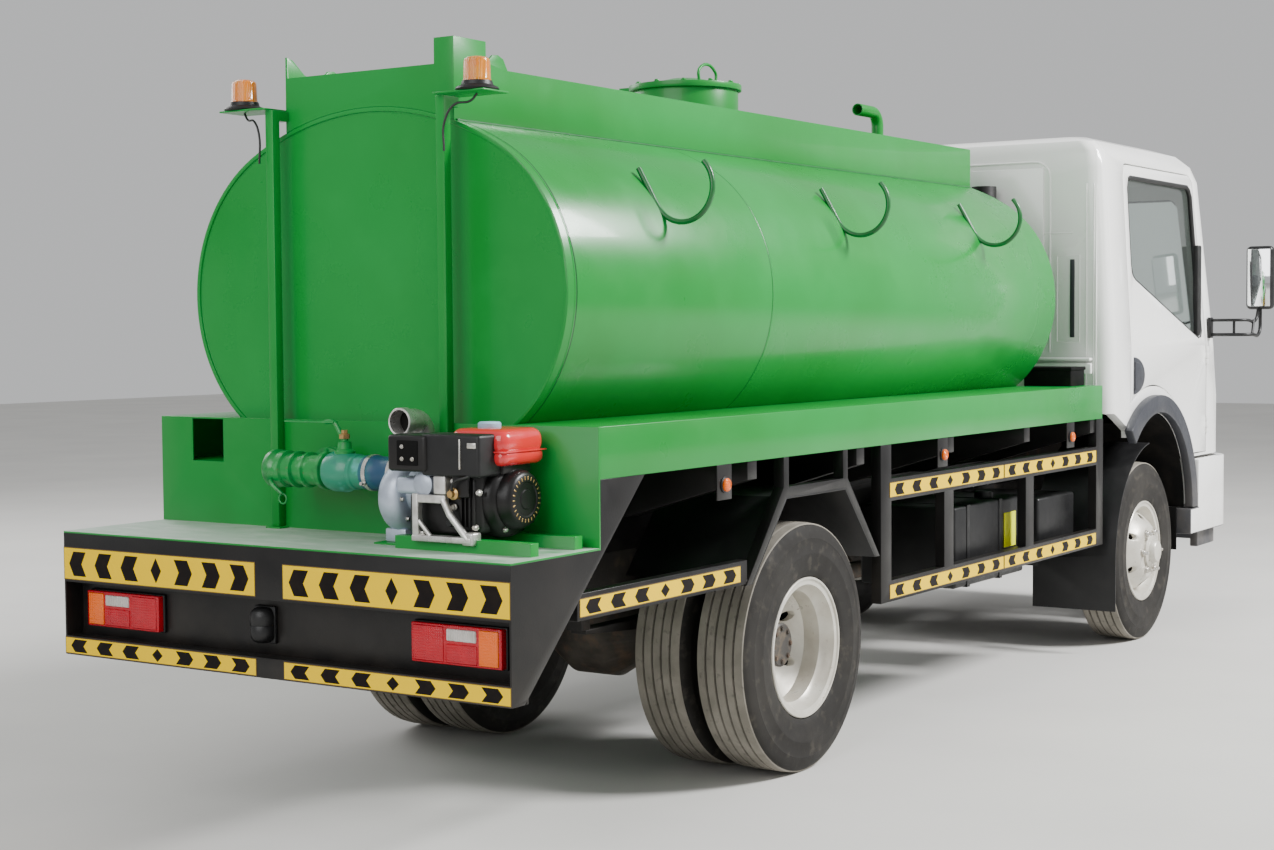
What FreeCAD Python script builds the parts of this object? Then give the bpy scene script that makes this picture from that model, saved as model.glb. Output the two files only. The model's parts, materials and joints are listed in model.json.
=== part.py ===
import FreeCAD, Part
import math
import os

import Sketcher
from FreeCAD import Placement, Rotation, Vector

# Every length of the truck in millimetres, named once. Angles are in degrees.
SIZES = {
    # whole truck, along the road
    "overall_length": 6360,
    "rear_overhang": 1740,
    "front_overhang": 1230,
    "body_half_width": 886,
    "cab_behind_axle": 530,
    "cab_gap": 105,
    "sheet": 6,
    "overrun": 20,
    "paint_gap": 0.3,
    # chassis frame
    "frame_half_width": 365,
    "frame_flange": 60,
    "frame_height": 180,
    "frame_top": 780,
    "frame_web": 8,
    "frame_front_gap": 320,
    "frame_rear_gap": 76,
    "cross_member_width": 90,
    "cross_member_height": 120,
    "cross_member_first": 140,
    # tank bearers
    "bearer_top": 1100,
    "bearer_width": 60,
    "bearer_end_depth": 60,
    "runner_height": 120,
    "bearer_inset": 80,
    "bearer_half_flat": 420,
    # tank
    "tank_half_width": 754,
    "tank_half_height": 575,
    "tank_side_radius": 510,
    "tank_middle_height": 1646,
    "tank_rear_inset": 36,
    "tank_front_inset": 241,
    "tank_rim": 14,
    "head_recess": 8,
    # walkway coaming on the tank
    "coaming_half_width": 341,
    "coaming_height": 113,
    "coaming_skirt": 90,
    "coaming_sheet": 8,
    "ear_height": 66,
    "ear_length": 270,
    "lug_width": 76,
    "lug_length": 160,
    "lug_height": 78,
    # manhole and vent
    "manhole_from_axle": 590,
    "neck_radius": 205,
    "neck_wall": 10,
    "neck_height": 219,
    "lid_radius": 218,
    "lid_thickness": 22,
    "lid_dome": 26,
    "lid_hinge_out": 262,
    "lid_hinge_up": 14,
    "lid_pin_radius": 9,
    "lid_knuckle": 16,
    "lid_ear_gap": 6,
    "lid_ear": 22,
    "lid_ear_clear": 8,
    "vent_behind_front": 264,
    "vent_radius": 27,
    "vent_bore": 22,
    "vent_height": 279,
    "vent_bend": 60,
    "vent_reach": 200,
    # hose hooks
    "hook_rear_gap": 613,
    "hook_front_gap": 704,
    "hook_radius": 110,
    "hook_bar": 9,
    "hook_leg": 108,
    "hook_out": 765,
    "hook_height": 1975,
    # hose trays and rear wall
    "deck_length": 431,
    "deck_top": 903,
    "tray_top": 1251,
    "tray_width": 290,
    "tray_mouth": 140,
    # rear bumper
    "bumper_bottom": 510,
    "bumper_band": 155,
    "bumper_lower": 60,
    "bumper_depth": 55,
    "bumper_recess": 70,
    "gusset_foot": 60,
    "gusset_reach": 665,
    # lamps
    "tail_lamp_width": 320,
    "tail_lamp_height": 112,
    "tail_lamp_depth": 36,
    "tail_lamp_out": 665,
    "tail_lamp_up": 658,
    "number_lamp_height": 98,
    "number_lamp_half_width": 43,
    "number_lamp_out": 76,
    "marker_radius": 21,
    "marker_depth": 14,
    "marker_height": 1036,
    "marker_rear": -615,
    "marker_middle": 1023,
    "marker_behind_axle": 1028,
    "marker_plate": 90,
    "marker_drop": 112,
    "beacon_radius": 42,
    "beacon_height": 96,
    "beacon_out": 470,
    "beacon_plate_rise": 13,
    "beacon_plate_half": 62,
    "beacon_behind_tank": 52,
    "beacon_plate_rear": 104,
    # rear posts
    "post_width": 32,
    "post_out": 345,
    "foot_margin": 14,
    # suction line and pump set
    "pump_line_back": 165,
    "line_height": 1107,
    "line_radius": 46,
    "line_bore": 38,
    "coupling_radius": 60,
    "coupling_length": 70,
    "line_left": 225,
    "valve_radius": 62,
    "valve_length": 96,
    "valve_out": -60,
    "stem_radius": 12,
    "stem_height": 130,
    "lever_length": 210,
    "lever_thickness": 8,
    "tee_out": 60,
    "volute_radius": 118,
    "volute_width": 96,
    "engine_left": -356,
    "volute_out": -300,
    "volute_height": 1040,
    "spout_radius": 42,
    "spout_top": 1300,
    "engine_right": -640,
    "engine_half_depth": 125,
    "engine_top": 1130,
    "recoil_radius": 98,
    "recoil_depth": 72,
    "air_box_left": -272,
    "air_box_right": -600,
    "air_box_top": 1240,
    "petrol_left": -604,
    "petrol_right": -775,
    "petrol_top": 1252,
    "bed_rail": 38,
    "bed_left": -364,
    "bed_right": -850,
    # side guards and wing frames
    "guard_rear": 490,
    "guard_behind_axle": 625,
    "guard_post": 85,
    "guard_depth": 40,
    "guard_bottom": 522,
    "guard_lower_top": 600,
    "guard_upper_bottom": 892,
    "guard_upper_top": 974,
    "guard_stud_first": 1080,
    "guard_stud_spacing": 815,
    "wing_bar": 34,
    "wing_top": 1000,
    "wing_flat_half": 230,
    "wing_foot_half": 480,
    "wing_foot": 700,
    "quarter_rear": 1420,
    "quarter_front": 500,
    "quarter_bottom": 704,
    "quarter_top": 782,
    "mudguard_inner": 395,
    "front_stay_drop": 204,
    "front_guard_radius": 530,
    "front_guard_inner": 510,
    "front_guard_outer": 915,
    "flap_bottom": 200,
    # boxes under the body
    "fuel_length": 710,
    "fuel_behind_battery": 170,
    "fuel_bottom": 470,
    "fuel_top": 800,
    "box_inset": 96,
    "battery_length": 430,
    "battery_behind_axle": 730,
    "battery_bottom": 510,
    "battery_top": 770,
    "silencer_radius": 92,
    "silencer_rear": 1150,
    "silencer_front": 1750,
    "silencer_out": 560,
    "silencer_height": 600,
    "exhaust_radius": 30,
    # wheels
    "tyre_radius": 430,
    "tyre_width": 215,
    "tread_width": 172,
    "shoulder_radius": 405,
    "shoulder_half": 98,
    "side_radius": 325,
    "rear_tyre_out": 857,
    "twin_gap": 30,
    "rim_half_width": 90,
    "rim_lip": 14,
    "well_radius": 196,
    "well_half_width": 58,
    "front_tyre_out": 876,
    "flange_radius": 243,
    "disc_thickness": 12,
    "disc_root": 42,
    "disc_flat_radius": 122,
    "disc_bore": 60,
    "front_hub_length": 46,
    "rear_hub_length": 120,
    "hub_wall": 20,
    "running_gap": 6,
    "hub_radius": 80,
    # axles and springs
    "axle_tube": 52,
    "differential_radius": 165,
    "differential_reach": 264,
    "drum_radius": 165,
    "drum_inner": 415,
    "drum_outer": 550,
    "front_drum_inner": 684,
    "front_drum_outer": 778,
    "front_drum_radius": 148,
    "pinion_reach": 290,
    "pinion_radius": 60,
    "spring_thickness": 54,
    "spring_leaf": 14,
    "spring_camber": 40,
    "hanger_length": 50,
    "spring_half_rear": 640,
    "spring_half_front": 560,
    "beam_height": 80,
    "beam_width": 70,
    "beam_drop": 60,
    "beam_end_clear": 12,
    "boss_radius": 32,
    "boss_height": 130,
    "fork_radius": 33,
    "fork_plate": 34,
    "kingpin_radius": 18,
    "kingpin_play": 1,
    "knuckle_plate": 30,
    "kingpin_out": 610,
    "spindle_radius": 40,
    # engine and drive line
    "engine_behind_axle": 410,
    "engine_ahead_axle": 510,
    "engine_half_width": 250,
    "engine_low": 500,
    "engine_high": 1010,
    "gearbox_length": 480,
    "gearbox_half_width": 150,
    "shaft_radius": 38,
    "duct_radius": 58,
    "duct_behind_cab": 95,
    "duct_out": 300,
    "duct_top": 2180,
    # cab
    "cab_half_width": 890,
    "cab_roof": 2405,
    "cab_wall": 45,
    "cab_screen_drop": 150,
    "cab_screen_back": 242,
    "cab_screen_half": 841,
    "cab_brow_drop": 75,
    "cab_brow_back": 310,
    "cab_brow_half": 826,
    "cab_brow_rear": 8,
    "cab_shoulder_drop": 25,
    "cab_shoulder_back": 410,
    "cab_shoulder_half": 785,
    "cab_shoulder_rear": 28,
    "cab_roof_back": 560,
    "cab_roof_half": 710,
    "cab_roof_rear": 80,
    "cab_belt_back": 55,
    "cab_waist": 1150,
    "cab_belt": 1420,
    "cab_sill": 850,
    "cab_rear_sill": 1115,
    "cab_rear_sill_front": 1025,
    "cab_corner_radius": 190,
    "cab_pillar_radius": 130,
    "cab_rear_radius": 70,
    "cab_front_inset": 20,
    "arch_radius": 500,
    "arch_ahead": 40,
    "arch_height": 600,
    "flare_width": 86,
    "flare_depth": 42,
    "flare_angle": 133,
    "door_rear_behind": 270,
    "door_front_ahead": 880,
    "door_drop": 115,
    "door_sill": 862,
    "door_arch_margin": 128,
    "door_gap": 7,
    "door_cut_depth": 135,
    "hinge_low": 960,
    "hinge_high": 1320,
    "hinge_proud": 3,
    "hinge_pin": 5,
    "hinge_knuckle": 10,
    "hinge_room": 14,
    "hinge_leaf": 30,
    "hinge_ear": 25,
    "hinge_gap": 5,
    "hinge_link": 8,
    "window_rear_behind": 205,
    "window_front_ahead": 800,
    "window_drop": 180,
    "window_low_front": 1440,
    "window_low_rear": 1756,
    "window_radius": 50,
    "window_slant": 60,
    "door_slant": 110,
    "door_radius": 70,
    "glass_depth": 18,
    "glass_thickness": 5,
    "screen_half_width": 740,
    "screen_bottom": 1470,
    "screen_drop": 225,
    "screen_taper": 40,
    "back_glass_half": 430,
    "back_glass_bottom": 1800,
    "cab_floor_thickness": 40,
    "footwell_ahead": 560,
    "pivot_behind_nose": 230,
    "pivot_height": 690,
    "pivot_radius": 26,
    "pivot_half": 395,
    "pivot_play": 1,
    "pivot_arm_out": 240,
    "pivot_arm": 40,
    "pivot_lug": 45,
    "seat_half_width": 240,
    "seat_out": 420,
    "seat_length": 470,
    "seat_height": 150,
    "seat_back_height": 560,
    "seat_back_depth": 110,
    "seat_rear": 70,
    "dash_half_width": 800,
    "dash_depth": 300,
    "dash_height": 330,
    "steering_wheel_radius": 190,
    "steering_rim": 14,
    "steering_out": 420,
    "steering_ahead": 660,
    "steering_height": 1520,
    "column_radius": 22,
    "column_length": 330,
    # front of the cab
    "bumper_half_width": 930,
    "front_bumper_bottom": 465,
    "front_bumper_top": 838,
    "front_bumper_wall": 40,
    "front_bumper_wrap": 645,
    "front_bumper_radius": 200,
    "valance_bottom": 375,
    "valance_inset": 50,
    "step_rear_ahead": 515,
    "step_front_ahead": 780,
    "step_depth": 130,
    "step_top": 594,
    "head_lamp_width": 300,
    "head_lamp_height": 170,
    "head_lamp_recess": 44,
    "head_lamp_out": 640,
    "head_lamp_up": 1000,
    # mirrors
    "mirror_ahead": 1110,
    "mirror_inner": 1030,
    "mirror_width": 140,
    "mirror_bottom": 1600,
    "mirror_top": 1930,
    "mirror_depth": 60,
    "mirror_arm": 14,
    "mirror_arm_height": 1500,
    "mirror_root_ahead": 920,
    "mirror_pad_width": 44,
    "mirror_pad_depth": 16,
    "mirror_pad_seat": 2,
}

doc = FreeCAD.newDocument("TankerTruck")
pieces = []


class Size:
    """A length that keeps the sheet formula it comes from."""

    def __init__(self, value, text):
        self.value = value
        self.text = text

    def join(self, other, sign, value):
        return Size(value, f"({self.text} {sign} {as_size(other).text})")

    def __add__(self, other):
        return self.join(other, "+", self.value + as_size(other).value)

    def __sub__(self, other):
        return self.join(other, "-", self.value - as_size(other).value)

    def __mul__(self, share):
        return self.join(share, "*", self.value * as_size(share).value)

    def __truediv__(self, share):
        return self.join(share, "/", self.value / as_size(share).value)

    def __neg__(self):
        return Size(-self.value, f"(0 - {self.text})")


def as_size(length):
    return length if isinstance(length, Size) else Size(length, repr(length))


class Sheet:
    """The named sizes, read as sheet cells."""

    def __init__(self):
        cells = doc.addObject("Spreadsheet::Sheet", "Sizes")
        for row, (name, value) in enumerate(SIZES.items(), start=1):
            cells.set(f"A{row}", name)
            cells.set(f"B{row}", str(value))
            cells.setAlias(f"B{row}", name)
            setattr(self, name, Size(value, f"Sizes.{name}"))


s = Sheet()
doc.recompute()

# Planes along the truck, ahead of its middle.
rear = -(s.overall_length / 2)
nose = s.overall_length / 2
rear_axle = rear + s.rear_overhang
front_axle = nose - s.front_overhang
cab_back = front_axle - s.cab_behind_axle
tray_front = cab_back - s.cab_gap
wall_face = rear + s.deck_length
tank_rear = wall_face + s.tank_rear_inset
tank_front = tray_front - s.tank_front_inset
tank_top = s.tank_middle_height + s.tank_half_height
neck_top = tank_top + s.neck_height
vent_top = tank_top + s.vent_height
coaming_top = tank_top + s.coaming_height
beacon_plate_up = tank_top + s.beacon_plate_rise
tray_inner = s.body_half_width - s.tray_width
box_outer = s.body_half_width - s.box_inset


def bind(thing, name, length):
    thing.setExpression(name, as_size(length).text)


def block(x, y, z):
    """A box between a pair of planes along each axis."""
    box = doc.addObject("Part::Box", "Block")
    for side, axis, (low, high) in zip(("Length", "Width", "Height"), "xyz", (x, y, z)):
        bind(box, side, as_size(high) - low)
        bind(box, "Placement.Base." + axis, low)
    return box


# How a cylinder that stands on the ground plane is laid along each axis.
# Along y its angle runs from the nose up.
LAID = {
    "x": Rotation(Vector(0, 1, 0), 90),
    "y": Rotation(Vector(1, 0, 0), 90),
    "z": Rotation(),
}


def place_along(thing, axis, span, at):
    """Put a turned form at the start of its span, over the two other places in order."""
    low, high = span
    thing.Placement = Placement(Vector(), LAID[axis])
    places = dict(zip([name for name in "xyz" if name != axis], at))
    places[axis] = high if axis == "y" else low
    for name, place in places.items():
        bind(thing, "Placement.Base." + name, place)


def rod(axis, radius, span, at, angle=360):
    bar = doc.addObject("Part::Cylinder", "Rod")
    bind(bar, "Radius", radius)
    bind(bar, "Height", as_size(span[1]) - span[0])
    bar.Angle = angle
    place_along(bar, axis, span, at)
    return bar


def cone(axis, radii, span, at):
    form = doc.addObject("Part::Cone", "Cone")
    first, last = (radii[1], radii[0]) if axis == "y" else radii
    bind(form, "Radius1", first)
    bind(form, "Radius2", last)
    bind(form, "Height", as_size(span[1]) - span[0])
    place_along(form, axis, span, at)
    return form


def ring(radius, bar, at, turn, sweep=360, start=0):
    """A bent round bar: its middle circle's radius, the bar's radius, centre, turn and sweep."""
    bend = doc.addObject("Part::Torus", "Bend")
    bind(bend, "Radius1", radius)
    bind(bend, "Radius2", bar)
    bend.Angle3 = sweep
    bend.Placement = Placement(Vector(), turn.multiply(Rotation(Vector(0, 0, 1), start)))
    for name, place in zip("xyz", at):
        bind(bend, "Placement.Base." + name, place)
    return bend


def hoop(radius, bar, at, turn, sweep=360):
    """A flat sided ring: its middle circle's radius, half its bar, centre, turn and sweep."""
    rods = []
    for edge, low, angle in ((as_size(radius) + bar, -bar, sweep), (as_size(radius) - bar, -bar * 2, 360)):
        form = doc.addObject("Part::Cylinder", "Hoop")
        bind(form, "Radius", edge)
        bind(form, "Height", -low * 2)
        form.Angle = angle
        form.Placement = Placement(turn.multVec(Vector(0, 0, low.value)), turn)
        for name, place, away in zip("xyz", at, turn.multVec(Vector(0, 0, 1))):
            bind(form, "Placement.Base." + name, as_size(place) + low * away)
        rods.append(form)
    return cut(*rods)


def fuse(*parts):
    if len(parts) == 1:
        return parts[0]
    whole = doc.addObject("Part::MultiFuse", "Joined")
    whole.Shapes = list(parts)
    return whole


def cut(base, *tools):
    rest = doc.addObject("Part::Cut", "Trimmed")
    rest.Base = base
    rest.Tool = fuse(*tools)
    return rest


def common(*parts):
    shared = doc.addObject("Part::MultiCommon", "Shared")
    shared.Shapes = list(parts)
    return shared


def mirrored(part):
    """The same form on the other side of the truck."""
    twin = doc.addObject("Part::Mirroring", "Twin")
    twin.Source = part
    twin.Normal = Vector(0, 1, 0)
    return twin


def both_sides(*parts):
    return [*parts, *(mirrored(part) for part in parts)]


def apart(*parts):
    group = doc.addObject("Part::Compound", "Group")
    group.Links = list(parts)
    return group


def origin_plane(body, role):
    return next(feature for feature in body.Origin.OriginFeatures if feature.Role == role)


def corner_arc(before, corner, after, radius):
    """Ends, centre and turn of the arc that rounds a corner."""
    here = Vector(*corner)
    first = (Vector(*before) - here).normalize()
    second = (Vector(*after) - here).normalize()
    half = first.getAngle(second) / 2
    reach = radius / math.tan(half)
    middle = here + (first + second).normalize() * (radius / math.sin(half))
    return here + first * reach, middle, here + second * reach


def add_outline(sketch, points):
    """Draw a closed outline whose corners are (across, up) or (across, up, radius)."""
    flat = [(as_size(p[0]).value, as_size(p[1]).value, 0) for p in points]
    count = len(points)
    arcs = {}
    for i, point in enumerate(points):
        if len(point) == 3:
            arcs[i] = corner_arc(flat[i - 1], flat[i], flat[(i + 1) % count], as_size(point[2]).value)
    lines = []
    for i in range(count):
        j = (i + 1) % count
        start = arcs[i][2] if i in arcs else Vector(*flat[i])
        end = arcs[j][0] if j in arcs else Vector(*flat[j])
        lines.append(sketch.addGeometry(Part.LineSegment(start, end), False))
    for i, point in enumerate(points):
        into, out = lines[i - 1], lines[i]
        if i in arcs:
            hold = round_corner(sketch, arcs[i], flat[i], into, out, point[2])
        else:
            sketch.addConstraint(Sketcher.Constraint("Coincident", into, 2, out, 1))
            hold = (out, 1)
        for kind, place in (("DistanceX", point[0]), ("DistanceY", point[1])):
            fix = sketch.addConstraint(Sketcher.Constraint(kind, *hold, as_size(place).value))
            bind(sketch, f"Constraints[{fix}]", place)


def round_corner(sketch, arc, corner, into, out, radius):
    """Put an arc between two lines, and return the point that holds their corner."""
    start, middle, end = arc
    turn = (start - middle).cross(end - middle).z
    first, last = (start, end) if turn > 0 else (end, start)
    circle = Part.Circle(middle, Vector(0, 0, 1), as_size(radius).value)
    angles = [math.atan2(p.y - middle.y, p.x - middle.x) for p in (first, last)]
    bend = sketch.addGeometry(Part.ArcOfCircle(circle, *angles), False)
    near, far = (1, 2) if turn > 0 else (2, 1)
    sketch.addConstraint(Sketcher.Constraint("Tangent", into, 2, bend, near))
    sketch.addConstraint(Sketcher.Constraint("Tangent", bend, far, out, 1))
    size = sketch.addConstraint(Sketcher.Constraint("Radius", bend, as_size(radius).value))
    bind(sketch, f"Constraints[{size}]", radius)
    held = sketch.addGeometry(Part.Point(Vector(*corner)), True)
    sketch.addConstraint(Sketcher.Constraint("PointOnObject", held, 1, into))
    sketch.addConstraint(Sketcher.Constraint("PointOnObject", held, 1, out))
    return held, 1


# The two axes that a sketch on each plane draws, and whether its pad runs towards lower values.
PLANES = {"XY_Plane": False, "XZ_Plane": True, "YZ_Plane": False}


def padded(plane, span, *outlines):
    """A flat outline, padded between two places square to its plane."""
    body = doc.addObject("PartDesign::Body", "Body")
    sketch = body.newObject("Sketcher::SketchObject", "Outline")
    sketch.AttachmentSupport = [(origin_plane(body, plane), "")]
    sketch.MapMode = "FlatFace"
    low, high = as_size(span[0]), as_size(span[1])
    bind(sketch, "AttachmentOffset.Base.z", -high if PLANES[plane] else low)
    for points in outlines:
        add_outline(sketch, points)
    pad = body.newObject("PartDesign::Pad", "Pad")
    pad.Profile = sketch
    bind(pad, "Length", high - low)
    body.Tip = pad
    return body


def turned(at, outline):
    """An outline of (radius, place along y) corners, turned about an axle that lies along y."""
    body = doc.addObject("PartDesign::Body", "Body")
    sketch = body.newObject("Sketcher::SketchObject", "Outline")
    sketch.AttachmentSupport = [(origin_plane(body, "XY_Plane"), "")]
    sketch.MapMode = "FlatFace"
    add_outline(sketch, outline)
    turn = body.newObject("PartDesign::Revolution", "Turned")
    turn.Profile = sketch
    turn.ReferenceAxis = (sketch, ["V_Axis"])
    turn.Angle = 360
    body.Tip = turn
    for axis, place in zip("xz", at):
        bind(body, "Placement.Base." + axis, place)
    return body


def piece(name, *parts):
    """Name a finished sub-part. Solids that do not touch stay apart in it."""
    whole = parts[0] if len(parts) == 1 else apart(*parts)
    whole.Label = name
    pieces.append(whole)
    return whole


# How nearly an edge has to run in a direction, as the cosine of the angle between them.
RUNS_ALONG = 0.999


def edges_along(shape, direction):
    """Names of the straight edges that run in a direction."""
    names = []
    for number, edge in enumerate(shape.Edges, start=1):
        run = edge.valueAt(edge.LastParameter) - edge.valueAt(edge.FirstParameter)
        if run.Length > 0 and abs(run.normalize().dot(direction)) > RUNS_ALONG:
            names.append(f"Edge{number}")
    return names


def oval(span, grow=0):
    """The tank's section: two flat arcs, top and bottom, whose meeting edges are rounded off."""
    half_width = s.tank_half_width + grow
    half_height = s.tank_half_height + grow
    side = s.tank_side_radius + grow
    out = half_width - side
    flat_radius = (out * out + half_height * half_height - side * side) / ((half_height - side) * 2)
    drop = flat_radius - half_height
    body = doc.addObject("PartDesign::Body", "Body")
    sketch = body.newObject("Sketcher::SketchObject", "Outline")
    sketch.AttachmentSupport = [(origin_plane(body, "YZ_Plane"), "")]
    sketch.MapMode = "FlatFace"
    bind(sketch, "AttachmentOffset.Base.z", span[0])
    lean = math.asin(drop.value / flat_radius.value)
    arcs = []
    for centre, start in ((-drop, lean), (drop, math.pi + lean)):
        circle = Part.Circle(Vector(0, centre.value, 0), Vector(0, 0, 1), flat_radius.value)
        arcs.append(sketch.addGeometry(Part.ArcOfCircle(circle, start, start + math.pi - 2 * lean), False))
        sketch.addConstraint(Sketcher.Constraint("PointOnObject", arcs[-1], 3, -2))
        fix = sketch.addConstraint(Sketcher.Constraint("DistanceY", arcs[-1], 3, centre.value))
        bind(sketch, f"Constraints[{fix}]", centre)
    first, second = arcs
    sketch.addConstraint(Sketcher.Constraint("Coincident", first, 2, second, 1))
    sketch.addConstraint(Sketcher.Constraint("Coincident", second, 2, first, 1))
    sketch.addConstraint(Sketcher.Constraint("Equal", first, second))
    fix = sketch.addConstraint(Sketcher.Constraint("Radius", first, flat_radius.value))
    bind(sketch, f"Constraints[{fix}]", flat_radius)
    pad = body.newObject("PartDesign::Pad", "Pad")
    pad.Profile = sketch
    bind(pad, "Length", as_size(span[1]) - span[0])
    doc.recompute()
    rounded = body.newObject("PartDesign::Fillet", "Sides")
    rounded.Base = (pad, edges_along(pad.Shape, Vector(1, 0, 0)))
    bind(rounded, "Radius", side)
    body.Tip = rounded
    bind(body, "Placement.Base.z", s.tank_middle_height)
    return body


def ahead(distance):
    """A place along the truck, measured ahead of the rear axle."""
    return rear_axle + distance


def width_at(middle, half):
    return (middle - half, middle + half)


def width(half):
    return (-half, half)


marker_places = (ahead(s.marker_rear), ahead(s.marker_middle), front_axle - s.marker_behind_axle)
frame_bottom = s.frame_top - s.frame_height
frame_inner = s.frame_half_width - s.frame_flange
frame_rear = rear + s.frame_rear_gap
frame_front = nose - s.frame_front_gap
rail_side = (frame_inner, s.frame_half_width)
pivot = (nose - s.pivot_behind_nose, s.pivot_height)
rear_seat = s.tyre_radius + s.axle_tube
beam_top = s.tyre_radius - s.beam_drop + s.beam_height / 2
wheel_offset = (s.tyre_width + s.twin_gap) / 2


def chassis_frame():
    """Two channel rails that open inwards, with cross members, spring hangers and the cab's pivot lugs."""
    rail = cut(
        block((frame_rear, frame_front), rail_side, (frame_bottom, s.frame_top)),
        block(
            (frame_rear - s.overrun, frame_front + s.overrun),
            (frame_inner - s.overrun, s.frame_half_width - s.frame_web),
            (frame_bottom + s.frame_web, s.frame_top - s.frame_web),
        ),
    )
    middle = (frame_bottom + s.frame_top) / 2
    places = [
        frame_rear + s.cross_member_first,
        rear_axle - s.spring_half_rear,
        rear_axle + s.spring_half_rear,
        (rear_axle + s.spring_half_rear + front_axle - s.gearbox_length) / 2,
        frame_front - s.cross_member_first,
    ]
    members = [
        block(
            width_at(place, s.cross_member_width / 2),
            width(s.frame_half_width - s.frame_web),
            width_at(middle, s.cross_member_height / 2),
        )
        for place in places
    ]
    hangers = []
    for axle, half, seat in (
        (rear_axle, s.spring_half_rear, rear_seat),
        (front_axle, s.spring_half_front, beam_top),
    ):
        eye_top = seat + s.spring_camber + s.spring_leaf
        for end in (axle - half, axle + half):
            hangers.append(block(width_at(end, s.hanger_length / 2), rail_side, (eye_top, frame_bottom)))
    lug = cut(
        block(
            (frame_front - s.pivot_lug, pivot[0] + s.pivot_lug),
            (s.frame_half_width - s.frame_web, s.frame_half_width),
            width_at(pivot[1], s.pivot_lug),
        ),
        rod("y", s.pivot_radius + s.pivot_play, (frame_inner, s.frame_half_width + s.overrun), pivot),
    )
    piece("chassis_frame", fuse(*both_sides(rail, *hangers, lug), *members))


# How many cross bearers carry the tank.
BEARER_COUNT = 6


def tank_bearers():
    """Runners on the rails and tapered cross bearers, hollowed where the tank lies in them."""
    runner_top = s.frame_top + s.runner_height
    runner = block((wall_face, tray_front - s.bearer_inset), rail_side, (s.frame_top, runner_top))
    outline = [
        (-s.body_half_width + s.sheet, s.bearer_top),
        (s.body_half_width - s.sheet, s.bearer_top),
        (s.body_half_width - s.sheet, s.bearer_top - s.bearer_end_depth),
        (s.bearer_half_flat, runner_top),
        (-s.bearer_half_flat, runner_top),
        (-s.body_half_width + s.sheet, s.bearer_top - s.bearer_end_depth),
    ]
    first = wall_face + s.bearer_inset
    last = tray_front - s.bearer_inset - s.bearer_width
    bars = []
    for i in range(BEARER_COUNT):
        start = first + (last - first) * (i / (BEARER_COUNT - 1))
        bars.append(padded("YZ_Plane", (start, start + s.bearer_width), outline))
    piece("tank_bearers", cut(fuse(*both_sides(runner), *bars), oval((tank_rear, tank_front))))


def tank_shell():
    """The oval tank, its heads set back inside the rims."""
    rear_head = oval((tank_rear - s.overrun, tank_rear + s.head_recess), -s.tank_rim)
    front_head = oval((tank_front - s.head_recess, tank_front + s.overrun), -s.tank_rim)
    piece("tank_shell", cut(oval((tank_rear, tank_front)), rear_head, front_head))


# The ear at the rear of each coaming side, as shares of its length and height from the rear top corner.
EAR_SHARES = (
    (0, 1),
    (0.1, 0.9),
    (0.3, 0.28),
    (0.45, 0.1),
    (0.6, 0.22),
    (0.72, 0.62),
    (0.82, 0.66),
    (0.92, 0.5),
    (1, 0),
)


def coaming():
    """The walkway box on the tank, with a shaped ear on each side and a lamp lug on the right."""
    span = (tank_rear, tank_front)
    half = s.coaming_half_width
    low = tank_top - s.coaming_skirt
    walls = cut(
        block(span, width(half), (low, coaming_top)),
        block(
            (tank_rear + s.coaming_sheet, tank_front - s.coaming_sheet),
            width(half - s.coaming_sheet),
            (low - s.overrun, coaming_top + s.overrun),
        ),
    )
    points = [
        (tank_rear + s.ear_length * along, coaming_top + s.ear_height * up) for along, up in EAR_SHARES
    ]
    ear = padded("XZ_Plane", (half - s.coaming_sheet, half), [(tank_rear, coaming_top), *points])
    lug = block(
        (tank_rear, tank_rear + s.lug_length),
        (-half, -half + s.lug_width),
        (coaming_top, coaming_top + s.lug_height),
    )
    box = fuse(walls, *both_sides(ear), lug)
    piece("coaming", cut(box, oval((tank_rear - s.overrun, tank_front + s.overrun))))


manhole = ahead(s.manhole_from_axle)
lid_pin_height = neck_top + s.lid_hinge_up
lid_pin = (s.lid_hinge_out, lid_pin_height)


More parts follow.
